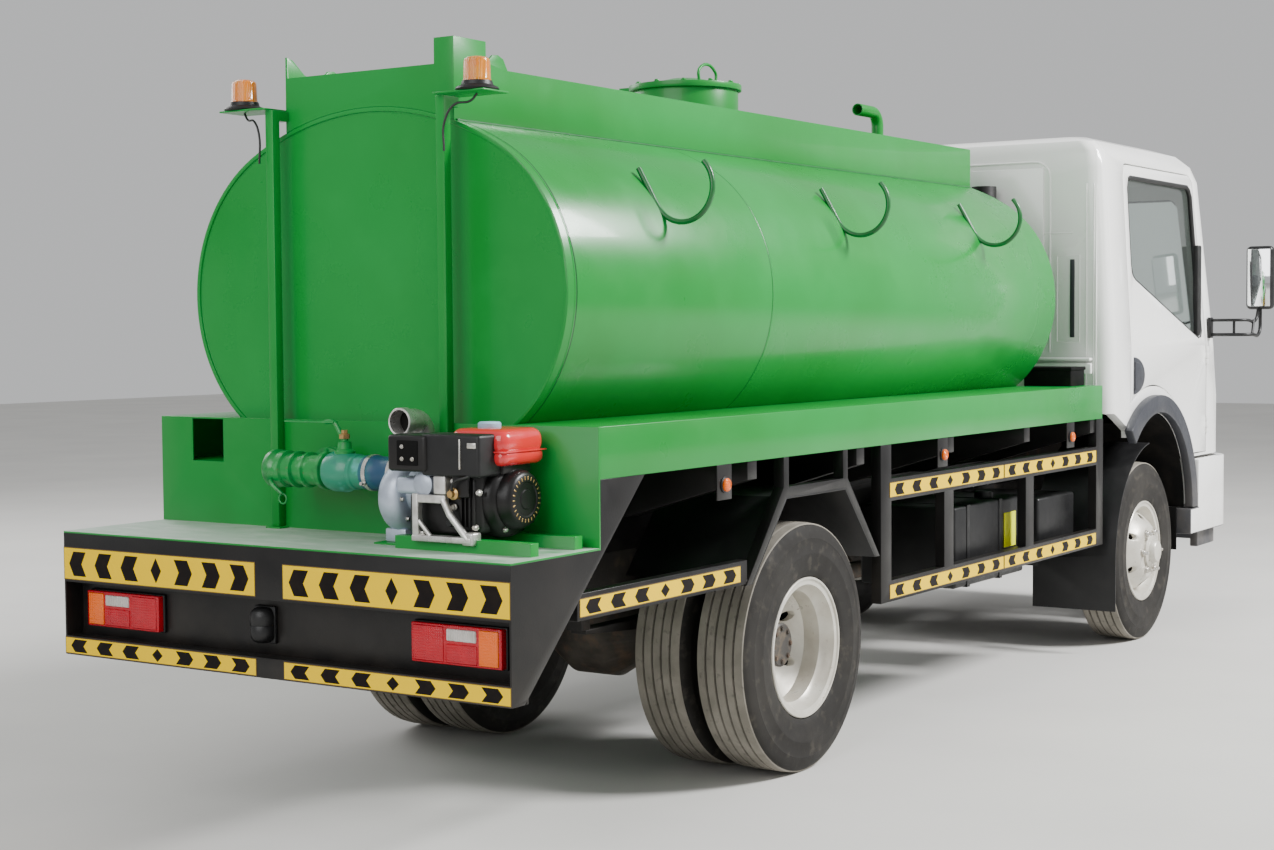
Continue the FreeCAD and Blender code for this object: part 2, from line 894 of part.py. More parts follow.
def tank_fittings():
    """The manhole neck with its hinge ears and pin, and the vent pipe with its bend."""
    root = tank_top - s.coaming_skirt
    neck = cut(
        rod("z", s.neck_radius, (root, neck_top), (manhole, 0)),
        rod("z", s.neck_radius - s.neck_wall, (root, neck_top + s.overrun), (manhole, 0)),
        oval((tank_rear, tank_front)),
    )
    ear_in = s.lid_knuckle + s.lid_ear_gap
    shelf = block(
        width_at(manhole, ear_in + s.lid_ear),
        (s.neck_radius - s.neck_wall / 2, s.lid_hinge_out + s.lid_knuckle),
        (neck_top - s.lid_ear_clear - s.lid_ear, neck_top - s.lid_ear_clear),
    )
    ears = []
    for side in (-1, 1):
        inner = manhole + ear_in * side
        outer = manhole + (ear_in + s.lid_ear) * side
        ears.append(
            block(
                (inner, outer) if side > 0 else (outer, inner),
                (s.lid_radius + s.lid_ear_clear, s.lid_hinge_out + s.lid_knuckle),
                (neck_top - s.lid_ear_clear - s.lid_ear, lid_pin_height + s.lid_knuckle),
            )
        )
    pin = rod("x", s.lid_pin_radius, width_at(manhole, ear_in + s.lid_ear), lid_pin)
    bend_height = vent_top - s.vent_bend
    vent_x = tank_front - s.vent_behind_front
    riser = cut(
        rod("z", s.vent_radius, (root, bend_height), (vent_x, 0)),
        oval((tank_rear, tank_front)),
    )
    bend = ring(s.vent_bend, s.vent_radius, (vent_x - s.vent_bend, 0, bend_height), LAID["y"], 90)
    tail = (vent_x - s.vent_reach, vent_x - s.vent_bend)
    mouth = rod("x", s.vent_bore, (tail[0] - s.overrun, tail[1]), (0, vent_top))
    vent = cut(fuse(riser, bend, rod("x", s.vent_radius, tail, (0, vent_top))), mouth)
    piece("tank_fittings", fuse(neck, shelf, *ears, pin), vent)


# The foot and the top of the lid's dome, and the root of its hinge arm, as shares of the lid's radius.
LID_DOME_SHARES = (0.8, 0.3)
LID_ARM_SHARE = 0.7


def manhole_lid():
    """A flat lid with a raised middle and one hinge knuckle on its left."""
    low = neck_top + s.paint_gap
    high = low + s.lid_thickness
    plate = rod("z", s.lid_radius, (low, high), (manhole, 0))
    radii = [s.lid_radius * share for share in LID_DOME_SHARES]
    dome = cone("z", radii, (high, high + s.lid_dome), (manhole, 0))
    arm_span = (s.lid_radius * LID_ARM_SHARE, s.lid_hinge_out)
    arm = block(width_at(manhole, s.lid_knuckle), arm_span, (low, lid_pin_height))
    knuckle = rod("x", s.lid_knuckle, width_at(manhole, s.lid_knuckle), lid_pin)
    hole = rod("x", s.lid_pin_radius + s.paint_gap, width_at(manhole, s.lid_knuckle + s.overrun), lid_pin)
    piece("manhole_lid", cut(fuse(plate, dome, arm, knuckle), hole))


# A hook's bar leaves the shell along a straight leg that leans by this angle, then bends round by the sweep.
HOOK_LEAN = 30
HOOK_SWEEP = 195

# Where the hooks stand, as shares of the way from the first to the last.
HOOK_SHARES = (0, 0.5, 1)


def hose_hooks():
    """Three bent round bars on each side of the tank, that carry a hose."""
    hooks = []
    lean = math.radians(HOOK_LEAN)
    first = tank_rear + s.hook_rear_gap
    last = tank_front - s.hook_front_gap
    for share in HOOK_SHARES:
        place = first + (last - first) * share
        bend = hoop(
            s.hook_radius,
            s.hook_bar,
            (place, s.hook_out, s.hook_height),
            LAID["x"].multiply(Rotation(Vector(0, 0, 1), HOOK_LEAN - 90)),
            HOOK_SWEEP,
        )
        leg = doc.addObject("Part::Cylinder", "Leg")
        bind(leg, "Radius", s.hook_bar)
        bind(leg, "Height", s.hook_leg)
        leg.Placement = Placement(Vector(), Rotation(Vector(1, 0, 0), HOOK_LEAN))
        start = (
            place,
            s.hook_out - s.hook_radius * math.cos(lean),
            s.hook_height - s.hook_radius * math.sin(lean),
        )
        for axis, value in zip("xyz", start):
            bind(leg, "Placement.Base." + axis, value)
        hooks.append(fuse(bend, leg))
    piece("hose_hooks", cut(fuse(*both_sides(*hooks)), oval((tank_rear, tank_front))))


# The ledge between a locker and the tank, as a share of the tank's half width.
TRAY_LEDGE_SHARE = 1 / 12


def hose_trays():
    """A hollow hose locker along each side, open at the rear."""
    side = (tray_inner, s.body_half_width)
    box = cut(
        block((wall_face, tray_front), side, (s.bearer_top, s.tray_top)),
        block(
            (wall_face - s.overrun, tray_front - s.sheet),
            (tray_inner + s.sheet, s.body_half_width - s.sheet),
            (s.bearer_top + s.sheet, s.tray_top - s.sheet),
        ),
    )
    ledge = cut(
        block(
            (tank_rear, tank_front),
            (tray_inner - s.tank_half_width * TRAY_LEDGE_SHARE, tray_inner),
            (s.tray_top - s.sheet, s.tray_top),
        ),
        oval((tank_rear - s.overrun, tank_front + s.overrun)),
    )
    piece("hose_trays", *both_sides(fuse(box, ledge)))


pump_x = wall_face - s.pump_line_back
post_x = (wall_face - s.sheet - s.post_width, wall_face - s.sheet)


def rear_wall():
    """The deck with its welded bed and foot plates, and the wall in front with the left locker's mouth."""
    deck = block((rear, wall_face), width(s.body_half_width), (s.deck_top - s.sheet, s.deck_top))
    wall = cut(
        block((wall_face - s.sheet, wall_face), width(s.body_half_width), (s.deck_top, s.tray_top)),
        block(
            (wall_face - s.overrun, wall_face + s.overrun),
            (tray_inner + s.sheet, tray_inner + s.sheet + s.tray_mouth),
            (s.bearer_top + s.sheet, s.tray_top - s.sheet),
        ),
    )
    bed = [
        block(
            (pump_x + place, pump_x + place + s.bed_rail),
            (s.bed_right, s.bed_left),
            (s.deck_top, s.deck_top + s.bed_rail),
        )
        for place in (-s.engine_half_depth, s.engine_half_depth - s.bed_rail)
    ]
    foot = (s.deck_top, s.deck_top + s.sheet)
    pump_foot = block(
        width_at(pump_x, s.volute_radius / 2 + s.foot_margin),
        width_at(s.volute_out, s.volute_width / 2 + s.foot_margin),
        foot,
    )
    post_foot = block(
        (post_x[0] - s.foot_margin, post_x[1]), width_at(s.post_out, s.post_width / 2 + s.foot_margin), foot
    )
    piece("rear_wall", fuse(deck, wall, *bed, pump_foot, *both_sides(post_foot)))


def rear_bumper():
    """The box across the rear: two beams, a panel set back between them and a gusset on each side."""
    top = s.deck_top - s.sheet
    beams = [
        block((rear, rear + s.bumper_depth), width(s.body_half_width), span)
        for span in ((top - s.bumper_band, top), (s.bumper_bottom, s.bumper_bottom + s.bumper_lower))
    ]
    panel = block(
        (rear + s.bumper_recess, rear + s.bumper_recess + s.sheet),
        width(s.body_half_width),
        (s.bumper_bottom, top),
    )
    gusset = padded(
        "XZ_Plane",
        (s.body_half_width - s.sheet, s.body_half_width),
        [
            (rear, s.bumper_bottom),
            (rear + s.gusset_foot, s.bumper_bottom),
            (rear + s.gusset_reach, s.bearer_top),
            (wall_face, s.bearer_top),
            (wall_face, top),
            (rear, top),
        ],
    )
    piece("rear_bumper", fuse(*beams, panel, *both_sides(gusset)))


def lamps():
    """Tail lamps, the number lamp, side markers and the two beacons."""
    seat = rear + s.bumper_recess
    tail = block(
        (seat - s.tail_lamp_depth, seat),
        width_at(s.tail_lamp_out, s.tail_lamp_width / 2),
        width_at(s.tail_lamp_up, s.tail_lamp_height / 2),
    )
    number = block(
        (seat - s.tail_lamp_depth, seat),
        width_at(s.number_lamp_out, s.number_lamp_half_width / 2),
        width_at(s.tail_lamp_up, s.number_lamp_height / 2),
    )
    proud = (s.body_half_width, s.body_half_width + s.marker_depth)
    markers = [rod("y", s.marker_radius, proud, (place, s.marker_height)) for place in marker_places]
    beacon_at = (tank_rear - s.beacon_behind_tank, s.beacon_out)
    beacon_span = (beacon_plate_up, beacon_plate_up + s.beacon_height)
    beacon = rod("z", s.beacon_radius, beacon_span, beacon_at)
    piece("lamps", *both_sides(tail, *markers, beacon), number)


def rear_posts():
    """The two square posts behind the tank's head, and the beacon plates with their gussets."""
    side = width_at(s.post_out, s.post_width / 2)
    top = beacon_plate_up - s.sheet
    post = block(post_x, side, (s.deck_top + s.sheet, top))
    cleat = block((post_x[1], tank_rear), side, (top - s.post_width, top))
    plate = block(
        (tank_rear - s.beacon_plate_rear, tank_rear + s.overrun),
        (s.coaming_half_width, s.beacon_out + s.beacon_plate_half),
        (top, beacon_plate_up),
    )
    piece("rear_posts", *both_sides(fuse(post, cleat, plate)))


def suction_pipe():
    """The suction line across the deck: coupling, tee to the tank, valve with its lever, and pump end."""
    line = (pump_x, s.line_height)
    low = s.volute_out + s.volute_width / 2
    coupling = (s.line_left - s.coupling_length, s.line_left)
    body = fuse(
        rod("y", s.line_radius, (low, s.line_left), line),
        rod("y", s.coupling_radius, coupling, line),
        rod("y", s.valve_radius, width_at(s.valve_out, s.valve_length / 2), line),
        rod("x", s.line_radius, (pump_x, wall_face - s.sheet), (s.tee_out, s.line_height)),
        rod("z", s.stem_radius, (s.line_height, s.line_height + s.stem_height), (pump_x, s.valve_out)),
        block(
            width_at(pump_x, s.stem_radius),
            (s.valve_out, s.valve_out + s.lever_length),
            (s.line_height + s.stem_height, s.line_height + s.stem_height + s.lever_thickness),
        ),
    )
    bore = rod("y", s.line_bore, (coupling[0], s.line_left + s.overrun), line)
    piece("suction_pipe", cut(body, bore))


def pump_casing():
    """The round pump casing with its spout and its foot on the bed."""
    side = width_at(s.volute_out, s.volute_width / 2)
    volute = rod("y", s.volute_radius, side, (pump_x, s.volute_height))
    spout = rod("z", s.spout_radius, (s.volute_height, s.spout_top), (pump_x, s.volute_out))
    foot = block(
        width_at(pump_x, s.volute_radius / 2),
        side,
        (s.deck_top + s.sheet, s.volute_height - s.volute_radius / 2),
    )
    piece("pump_casing", fuse(volute, spout, foot))


def pump_engine():
    """The small engine: crankcase, recoil cover, air box and petrol tank."""
    depth = width_at(pump_x, s.engine_half_depth)
    case = block(depth, (s.engine_right, s.engine_left), (s.deck_top + s.bed_rail, s.engine_top))
    recoil = rod(
        "y", s.recoil_radius, (s.engine_right - s.recoil_depth, s.engine_right), (pump_x, s.volute_height)
    )
    air_box = block(
        (pump_x - s.engine_half_depth - s.bed_rail, pump_x),
        (s.air_box_right, s.air_box_left),
        (s.engine_top, s.air_box_top),
    )
    petrol = block(
        width_at(pump_x, s.engine_half_depth),
        (s.petrol_right, s.petrol_left),
        (s.engine_top, s.petrol_top),
    )
    side = width_at(s.volute_out, s.volute_width / 2 + s.sheet)
    above = (s.engine_top - s.overrun, s.air_box_top + s.overrun)
    room = [
        rod("z", s.spout_radius + s.sheet, above, (pump_x, s.volute_out)),
        rod("y", s.volute_radius + s.sheet, side, (pump_x, s.volute_height)),
    ]
    piece("pump_engine", fuse(case, recoil, cut(air_box, *room), petrol))


guard_side = (s.body_half_width - s.guard_depth, s.body_half_width)


def side_guards():
    """Guard rails on posts, wing frames over the twin wheels, quarter rails and the marker plates."""
    span = (ahead(s.guard_rear), front_axle - s.guard_behind_axle)
    parts = [
        block((span[0], span[0] + s.guard_post), guard_side, (s.guard_bottom, s.bearer_top)),
        block((span[1] - s.guard_post, span[1]), guard_side, (s.guard_bottom, s.bearer_top)),
        block(span, guard_side, (s.guard_bottom, s.guard_lower_top)),
        block(span, guard_side, (s.guard_upper_bottom, s.guard_upper_top)),
    ]
    for i in range(2):
        stud = width_at(ahead(s.guard_stud_first + s.guard_stud_spacing * i), s.guard_post / 2)
        parts.append(block(stud, guard_side, (s.guard_bottom, s.guard_upper_top)))
    guard = fuse(*parts)
    wing = [
        (-s.wing_foot_half, s.wing_foot),
        (-s.wing_flat_half, s.wing_top),
        (s.wing_flat_half, s.wing_top),
        (s.wing_foot_half, s.wing_foot),
        (s.wing_foot_half - s.wing_bar, s.wing_foot),
        (s.wing_flat_half - s.wing_bar / 2, s.wing_top - s.wing_bar),
        (-s.wing_flat_half + s.wing_bar / 2, s.wing_top - s.wing_bar),
        (-s.wing_foot_half + s.wing_bar, s.wing_foot),
    ]
    frame = [padded("XZ_Plane", guard_side, [(rear_axle + x, z) for x, z in wing])]
    for start in (ahead(-s.wing_flat_half), ahead(s.wing_flat_half - s.wing_bar)):
        frame.append(block((start, start + s.wing_bar), guard_side, (s.wing_top, s.bearer_top)))
    inner = (guard_side[0] - s.sheet, s.body_half_width - s.sheet)
    rail = (rear_axle - s.quarter_rear, rear_axle - s.quarter_front + s.wing_bar)
    frame.append(block(rail, inner, (s.quarter_bottom, s.quarter_top)))
    plates = [
        block(
            width_at(place, s.marker_plate / 2),
            (s.body_half_width - s.sheet, s.body_half_width),
            (s.bearer_top - s.marker_drop, s.bearer_top),
        )
        for place in marker_places
    ]
    piece("side_guards", *both_sides(guard, fuse(*frame), *plates))


# How far round the tyre the front guard reaches, up from level behind the wheel.
FRONT_GUARD_SWEEP = 82


def mudguards():
    """Folded guards inside the wing frames, and round guards with flaps behind the front wheels."""
    foot = s.wing_foot_half - s.wing_bar
    flat = s.wing_flat_half - s.wing_bar / 2
    top = s.wing_top - s.wing_bar
    folded = [
        (-foot, s.wing_foot),
        (-flat, top),
        (flat, top),
        (foot, s.wing_foot),
        (foot - s.sheet, s.wing_foot),
        (flat - s.sheet / 2, top - s.sheet),
        (-flat + s.sheet / 2, top - s.sheet),
        (-foot + s.sheet, s.wing_foot),
    ]
    back = padded("XZ_Plane", (s.mudguard_inner, s.body_half_width), [(rear_axle + x, z) for x, z in folded])
    side = (s.front_guard_inner, s.front_guard_outer)
    middle = (front_axle, s.tyre_radius)
    outer = rod("y", s.front_guard_radius + s.sheet, side, middle, FRONT_GUARD_SWEEP)
    inner = rod("y", s.front_guard_radius, (side[0] - s.overrun, side[1] + s.overrun), middle)
    behind = Rotation(Vector(0, 0, 1), 180 - FRONT_GUARD_SWEEP)
    outer.Placement = Placement(Vector(), LAID["y"].multiply(behind))
    for axis, value in zip("xyz", (middle[0], side[1], middle[1])):
        bind(outer, "Placement.Base." + axis, value)
    flap = block(
        (front_axle - s.front_guard_radius - s.sheet, front_axle - s.front_guard_radius),
        side,
        (s.flap_bottom, s.tyre_radius),
    )
    stay_front = front_axle - s.front_guard_radius - s.sheet
    stay_low = frame_bottom - s.front_stay_drop
    stay = block(
        (stay_front - s.wing_bar, stay_front),
        (s.frame_half_width, s.front_guard_inner + s.wing_bar),
        (stay_low, stay_low + s.wing_bar),
    )
    drop = block(
        (stay_front - s.wing_bar, stay_front),
        (s.frame_half_width, s.frame_half_width + s.wing_bar),
        (stay_low, frame_bottom + s.wing_bar),
    )
    piece("mudguards", *both_sides(back, fuse(cut(outer, inner), flap, stay, drop)))


def side_boxes():
    """The fuel tank and the battery box against the right rail."""
    side = (-box_outer, -s.frame_half_width)
    battery_front = front_axle - s.battery_behind_axle
    battery_rear = battery_front - s.battery_length
    fuel_front = battery_rear - s.fuel_behind_battery
    fuel = block((fuel_front - s.fuel_length, fuel_front), side, (s.fuel_bottom, s.fuel_top))
    battery = block((battery_rear, battery_front), side, (s.battery_bottom, s.battery_top))
    piece("side_boxes", fuel, battery)


def rear_axle_piece():
    """The driven axle: tube, differential with its nose, and brake drums."""
    middle = (rear_axle, s.tyre_radius)
    tube_end = twin_face - s.disc_thickness - s.running_gap
    spindle_end = twin_face + s.rear_hub_length - s.hub_wall - s.running_gap
    parts = [
        rod("y", s.axle_tube, width(tube_end), middle),
        rod("y", s.spindle_radius, width(spindle_end), middle),
        rod("y", s.differential_radius, width(s.differential_radius / 2), middle),
        rod("x", s.pinion_radius, (rear_axle, rear_axle + s.pinion_reach), (0, s.tyre_radius)),
    ]
    flank = (s.differential_radius / 2, s.differential_reach)
    side = cone("y", (s.differential_radius, s.axle_tube), flank, middle)
    drum = rod("y", s.drum_radius, (s.drum_inner, s.drum_outer), middle)
    piece("rear_axle", fuse(*parts, *both_sides(side, drum)))


# How much of each half of a leaf pack lies flat on its axle, as a share of that half.
SPRING_SEAT_SHARE = 1 / 6


def leaf_springs():
    """A leaf pack at each corner, thick over the axle and thin at its eyes."""
    springs = []
    for axle, half, seat in (
        (rear_axle, s.spring_half_rear, rear_seat),
        (front_axle, s.spring_half_front, beam_top),
    ):
        eye = seat + s.spring_camber
        middle = half * SPRING_SEAT_SHARE
        outline = [
            (axle - half, eye),
            (axle - middle, seat),
            (axle + middle, seat),
            (axle + half, eye),
            (axle + half, eye + s.spring_leaf),
            (axle + middle, seat + s.spring_thickness),
            (axle - middle, seat + s.spring_thickness),
            (axle - half, eye + s.spring_leaf),
        ]
        springs.append(padded("XZ_Plane", rail_side, outline))
    piece("leaf_springs", *both_sides(*springs))


boss_low = s.tyre_radius - s.boss_height / 2
boss_high = s.tyre_radius + s.boss_height / 2


def front_axle_piece():
    """The dropped beam with a kingpin boss at each end."""
    beam = block(
        width_at(front_axle, s.beam_width / 2),
        width(s.kingpin_out - s.boss_radius - s.beam_end_clear),
        (beam_top - s.beam_height, beam_top),
    )
    neck = block(
        width_at(front_axle, s.boss_radius),
        width(s.kingpin_out - s.boss_radius / 2),
        (boss_low, beam_top),
    )
    at = (front_axle, s.kingpin_out)
    boss = rod("z", s.boss_radius, (boss_low, boss_high), at)
    through = (boss_low - s.overrun, boss_high + s.overrun)
    hole = rod("z", s.kingpin_radius + s.kingpin_play, through, at)
    piece("front_axle", cut(fuse(beam, neck, *both_sides(boss)), *both_sides(hole)))


def knuckle():
    """A fork round the boss on its kingpin, with the brake drum and the spindle."""
    at = (front_axle, s.kingpin_out)
    top = (boss_high + s.running_gap, boss_high + s.running_gap + s.fork_plate)
    bottom = (boss_low - s.running_gap - s.fork_plate, boss_low - s.running_gap)
    back = s.kingpin_out + s.boss_radius + s.running_gap
    fork = [rod("z", s.fork_radius, span, at) for span in (top, bottom)]
    across = width_at(front_axle, s.fork_radius)
    arms = [block(across, (s.kingpin_out, back + s.knuckle_plate), span) for span in (top, bottom)]
    plate = block(across, (back, back + s.knuckle_plate), (bottom[0], top[1]))
    pin = rod("z", s.kingpin_radius, (bottom[0], top[1]), at)
    middle = (front_axle, s.tyre_radius)
    drum = rod("y", s.front_drum_radius, (s.front_drum_inner, s.front_drum_outer), middle)
    face = s.front_tyre_out - s.tyre_width / 2 + wheel_offset
    spindle_end = face + s.front_hub_length - s.hub_wall - s.running_gap
    spindle = rod("y", s.spindle_radius, (back, spindle_end), middle)
    return fuse(*fork, *arms, plate, pin, drum, spindle)


def knuckles():
    left = knuckle()
    piece("knuckle_left", left)
    piece("knuckle_right", mirrored(left))


twin_face = s.rear_tyre_out - s.tyre_width - s.twin_gap / 2


def tyre(axle, middle):
    """A plain tyre: it widens from the rim's flange to its side, then narrows to the tread."""
    half = [
        (s.flange_radius, s.rim_half_width),
        (s.side_radius, s.tyre_width / 2),
        (s.shoulder_radius, s.shoulder_half),
        (s.tyre_radius, s.tread_width / 2),
    ]
    far = [(radius, middle + out) for radius, out in half]
    near = [(radius, middle - out) for radius, out in reversed(half)]
    return turned((axle, s.tyre_radius), far + near)


def rim(axle, middle, side):
    """A wheel: a barrel with a well and two lips, and a disc that is dished towards one side."""
    lip = s.flange_radius - s.rim_lip
    barrel = [
        (lip, -s.rim_half_width),
        (s.flange_radius, -s.rim_half_width),
        (s.flange_radius, s.rim_half_width),
        (lip, s.rim_half_width),
        (s.well_radius, s.well_half_width),
        (s.well_radius, -s.well_half_width),
    ]
    face = wheel_offset * side
    back = face - s.disc_thickness * side
    root = s.disc_root * side
    seat = s.well_radius + s.rim_lip / 2
    disc = [
        (s.disc_bore, face),
        (s.disc_flat_radius, face),
        (seat, root),
        (seat, root - s.disc_thickness * 2 * side),
        (s.disc_flat_radius, back),
        (s.disc_bore, back),
    ]
    if side < 0:
        disc = disc[::-1]
    at = (axle, s.tyre_radius)
    forms = []
    for outline in (barrel, disc):
        forms.append(turned(at, [(radius, middle + place) for radius, place in outline]))
    return fuse(*forms)


def front_wheel():
    middle = s.front_tyre_out - s.tyre_width / 2
    face = middle + wheel_offset
    at = (front_axle, s.tyre_radius)
    hub_end = face + s.front_hub_length
    hub = cut(
        rod("y", s.hub_radius, (face - s.disc_thickness, hub_end), at),
        rod("y", s.spindle_radius + s.paint_gap, (face - s.overrun, hub_end - s.hub_wall), at),
    )
    return tyre(front_axle, middle), fuse(rim(front_axle, middle, 1), hub)


def rear_wheel():
    outer = s.rear_tyre_out - s.tyre_width / 2
    inner = outer - s.tyre_width - s.twin_gap
    tyres = apart(tyre(rear_axle, outer), tyre(rear_axle, inner))
    at = (rear_axle, s.tyre_radius)
    hub_end = twin_face + s.rear_hub_length
    hub = cut(
        rod("y", s.hub_radius, (twin_face - s.disc_thickness, hub_end), at),
        rod("y", s.spindle_radius + s.paint_gap, (twin_face - s.overrun, hub_end - s.hub_wall), at),
    )
    rims = fuse(rim(rear_axle, outer, -1), rim(rear_axle, inner, 1), hub)
    return tyres, rims


def wheels():
    for place, make in (("front", front_wheel), ("rear", rear_wheel)):
        rubber, steel = make()
        piece(f"{place}_tyre_left", rubber)
        piece(f"{place}_rim_left", steel)
        piece(f"{place}_tyre_right", mirrored(rubber))
        piece(f"{place}_rim_right", mirrored(steel))


def power_train():
    """The engine as one plain block, the gearbox and the propeller shaft."""
    engine_rear = front_axle - s.engine_behind_axle
    engine = block(
        (engine_rear, front_axle + s.engine_ahead_axle),
        width(s.engine_half_width),
        (s.engine_low, s.engine_high),
    )
    gearbox_rear = engine_rear - s.gearbox_length
    gearbox = block(
        (gearbox_rear, engine_rear),
        width(s.gearbox_half_width),
        (s.tyre_radius - s.gearbox_half_width / 2, s.frame_top),
    )
    shaft = rod("x", s.shaft_radius, (rear_axle + s.pinion_reach, gearbox_rear), (0, s.tyre_radius))
    piece("power_train", fuse(engine, gearbox, shaft))


def engine_pipes():
    """The silencer with its tail pipe on the left, and the air duct behind the cab."""
    at = (s.silencer_out, s.silencer_height)
    drum = rod("x", s.silencer_radius, (ahead(s.silencer_rear), ahead(s.silencer_front)), at)
    tail = rod("x", s.exhaust_radius, (ahead(s.guard_rear + s.guard_post), ahead(s.silencer_rear)), at)
    middle = ahead((s.silencer_rear + s.silencer_front) / 2)
    hanger = block(
        width_at(middle, s.exhaust_radius),
        (s.frame_half_width, s.silencer_out),
        width_at(frame_bottom + s.exhaust_radius, s.exhaust_radius / 2),
    )
    duct = rod("z", s.duct_radius, (s.frame_top, s.duct_top), (cab_back - s.duct_behind_cab, -s.duct_out))
    piece("engine_pipes", fuse(drum, tail, hanger), duct)


# The cab's level sections: height, how far the front and the rear stand in, half width, corner radius.
cab_nose = nose - s.cab_front_inset
upright = as_size(0)
cab_screen = s.cab_roof - s.cab_screen_drop
CAB_LEVELS = (
    (s.cab_sill, upright, upright, s.cab_half_width, s.cab_corner_radius),
    (s.cab_waist, upright, upright, s.cab_half_width, s.cab_corner_radius),
    (s.cab_belt, s.cab_belt_back, upright, s.cab_half_width, s.cab_corner_radius),
    (cab_screen, s.cab_screen_back, upright, s.cab_screen_half, s.cab_pillar_radius),
    (s.cab_roof - s.cab_brow_drop, s.cab_brow_back, s.cab_brow_rear, s.cab_brow_half, s.cab_pillar_radius),
    (
        s.cab_roof - s.cab_shoulder_drop,
        s.cab_shoulder_back,
        s.cab_shoulder_rear,
        s.cab_shoulder_half,
        s.cab_pillar_radius,
    ),
    (s.cab_roof, s.cab_roof_back, s.cab_roof_rear, s.cab_roof_half, s.cab_pillar_radius),
)


def cab_form(inset, below):
    """The cab as a solid: a loft through its level sections, drawn in all round and run on below."""
    body = doc.addObject("PartDesign::Body", "Body")
    sketches = []
    for height, front_in, rear_in, half, corner_radius in CAB_LEVELS:
        sketch = body.newObject("Sketcher::SketchObject", "Level")
        sketch.AttachmentSupport = [(origin_plane(body, "XY_Plane"), "")]
        sketch.MapMode = "FlatFace"
        level = height
        if height is s.cab_sill:
            level = height - below
        if height.value > cab_screen.value:
            level = height - inset
        bind(sketch, "AttachmentOffset.Base.z", level)
        front = cab_nose - front_in - inset
        back = cab_back + rear_in + inset
        side = half - inset
        corner = corner_radius - inset
        back_corner = s.cab_rear_radius - inset
        add_outline(
            sketch,
            [
                (back, -side, back_corner),
                (front, -side, corner),
                (front, side, corner),
                (back, side, back_corner),
            ],
        )
        sketches.append(sketch)
    loft = body.newObject("PartDesign::AdditiveLoft", "Loft")
    loft.Profile = sketches[0]
    loft.Sections = sketches[1:]
    loft.Ruled = True
    body.Tip = loft
    return body


cab_solid = cab_form(upright, upright)
cab_room = cab_form(s.cab_wall, s.overrun)


def window_outline():
    rear_x = front_axle - s.window_rear_behind
    front_x = front_axle + s.window_front_ahead
    return [
        (rear_x, s.window_low_rear, s.window_radius),
        (front_x, s.window_low_front, s.window_radius),
        (front_x - s.window_slant, s.cab_roof - s.window_drop, s.window_radius),
        (rear_x, s.cab_roof - s.window_drop, s.window_radius),
    ]


def door_prism(side, gap):
    """What the door takes out of the cab's side, drawn in by a gap all round."""
    rear_x = front_axle - s.door_rear_behind + gap
    front_x = front_axle + s.door_front_ahead - gap
    top = s.cab_roof - s.door_drop - gap
    outline = [
        (rear_x, s.door_sill + gap),
        (front_x, s.door_sill + gap),
        (front_x, s.cab_belt),
        (front_x - s.door_slant, top, s.door_radius),
        (rear_x, top, s.door_radius),
    ]
    plate = padded("XZ_Plane", side, outline)
    arch = rod(
        "y",
        s.arch_radius + s.door_arch_margin + gap,
        (side[0] - s.overrun, side[1] + s.overrun),
        arch_middle,
    )
    return cut(plate, arch)


arch_middle = (front_axle + s.arch_ahead, s.arch_height)


def cab_pieces():
    """The cab's shell with its openings, the doors cut from it, and the glass."""
    shell = cut(cab_solid, cab_room)
    half = s.cab_half_width
    door_side = (half - s.door_cut_depth, half + s.overrun)
    glass_top = s.cab_roof - s.screen_drop
    screen = padded(
        "YZ_Plane",
        (cab_nose - s.cab_roof_back, nose),
        [
            (-s.screen_half_width, s.screen_bottom, s.window_radius),
            (s.screen_half_width, s.screen_bottom, s.window_radius),
            (s.screen_half_width - s.screen_taper, glass_top, s.window_radius),
            (-s.screen_half_width + s.screen_taper, glass_top, s.window_radius),
        ],
    )
    back_window = padded(
        "YZ_Plane",
        (cab_back - s.overrun, cab_back + s.cab_wall + s.overrun),
        [
            (-s.back_glass_half, s.back_glass_bottom, s.window_radius),
            (s.back_glass_half, s.back_glass_bottom, s.window_radius),
            (s.back_glass_half, glass_top, s.window_radius),
            (-s.back_glass_half, glass_top, s.window_radius),
        ],
    )
    arch = rod("y", s.arch_radius, width(half + s.overrun), arch_middle)
    rear_corner = padded(
        "XZ_Plane",
        width(half + s.overrun),
        [
            (cab_back - s.overrun, s.cab_sill - s.overrun),
            (cab_back - s.overrun, s.cab_rear_sill),
            (cab_back + s.cab_wall, s.cab_rear_sill),
            (front_axle - s.door_rear_behind, s.cab_rear_sill_front),
            (front_axle - s.door_rear_behind, s.cab_sill - s.overrun),
        ],
    )
    lamp = head_lamp_block()
    opening = door_prism(width(half + s.overrun), upright)
    ears, knuckles_left, ear_room, knuckle_room, holes = door_hinges()
    body = cut(shell, screen, back_window, arch, rear_corner, opening, *both_sides(lamp, *knuckle_room))
    piece("cab_shell", fuse(body, *both_sides(*ears)))
    window_room = padded("XZ_Plane", door_side, window_outline())
    panel = cut(common(shell, door_prism(door_side, s.door_gap)), window_room, *ear_room)
    door = cut(fuse(panel, *knuckles_left), *holes)
    glass = cut(cab_form(s.glass_depth, upright), cab_form(s.glass_depth + s.glass_thickness, s.overrun))
    door_glass = common(glass, window_room)
    piece("door_left", door)
    piece("door_right", mirrored(door))
    piece("door_glass_left", door_glass)
    piece("door_glass_right", mirrored(door_glass))
    piece("cab_glass", common(glass, screen), common(glass, back_window))
    piece("head_lamps", *both_sides(common(cab_solid, lamp)))


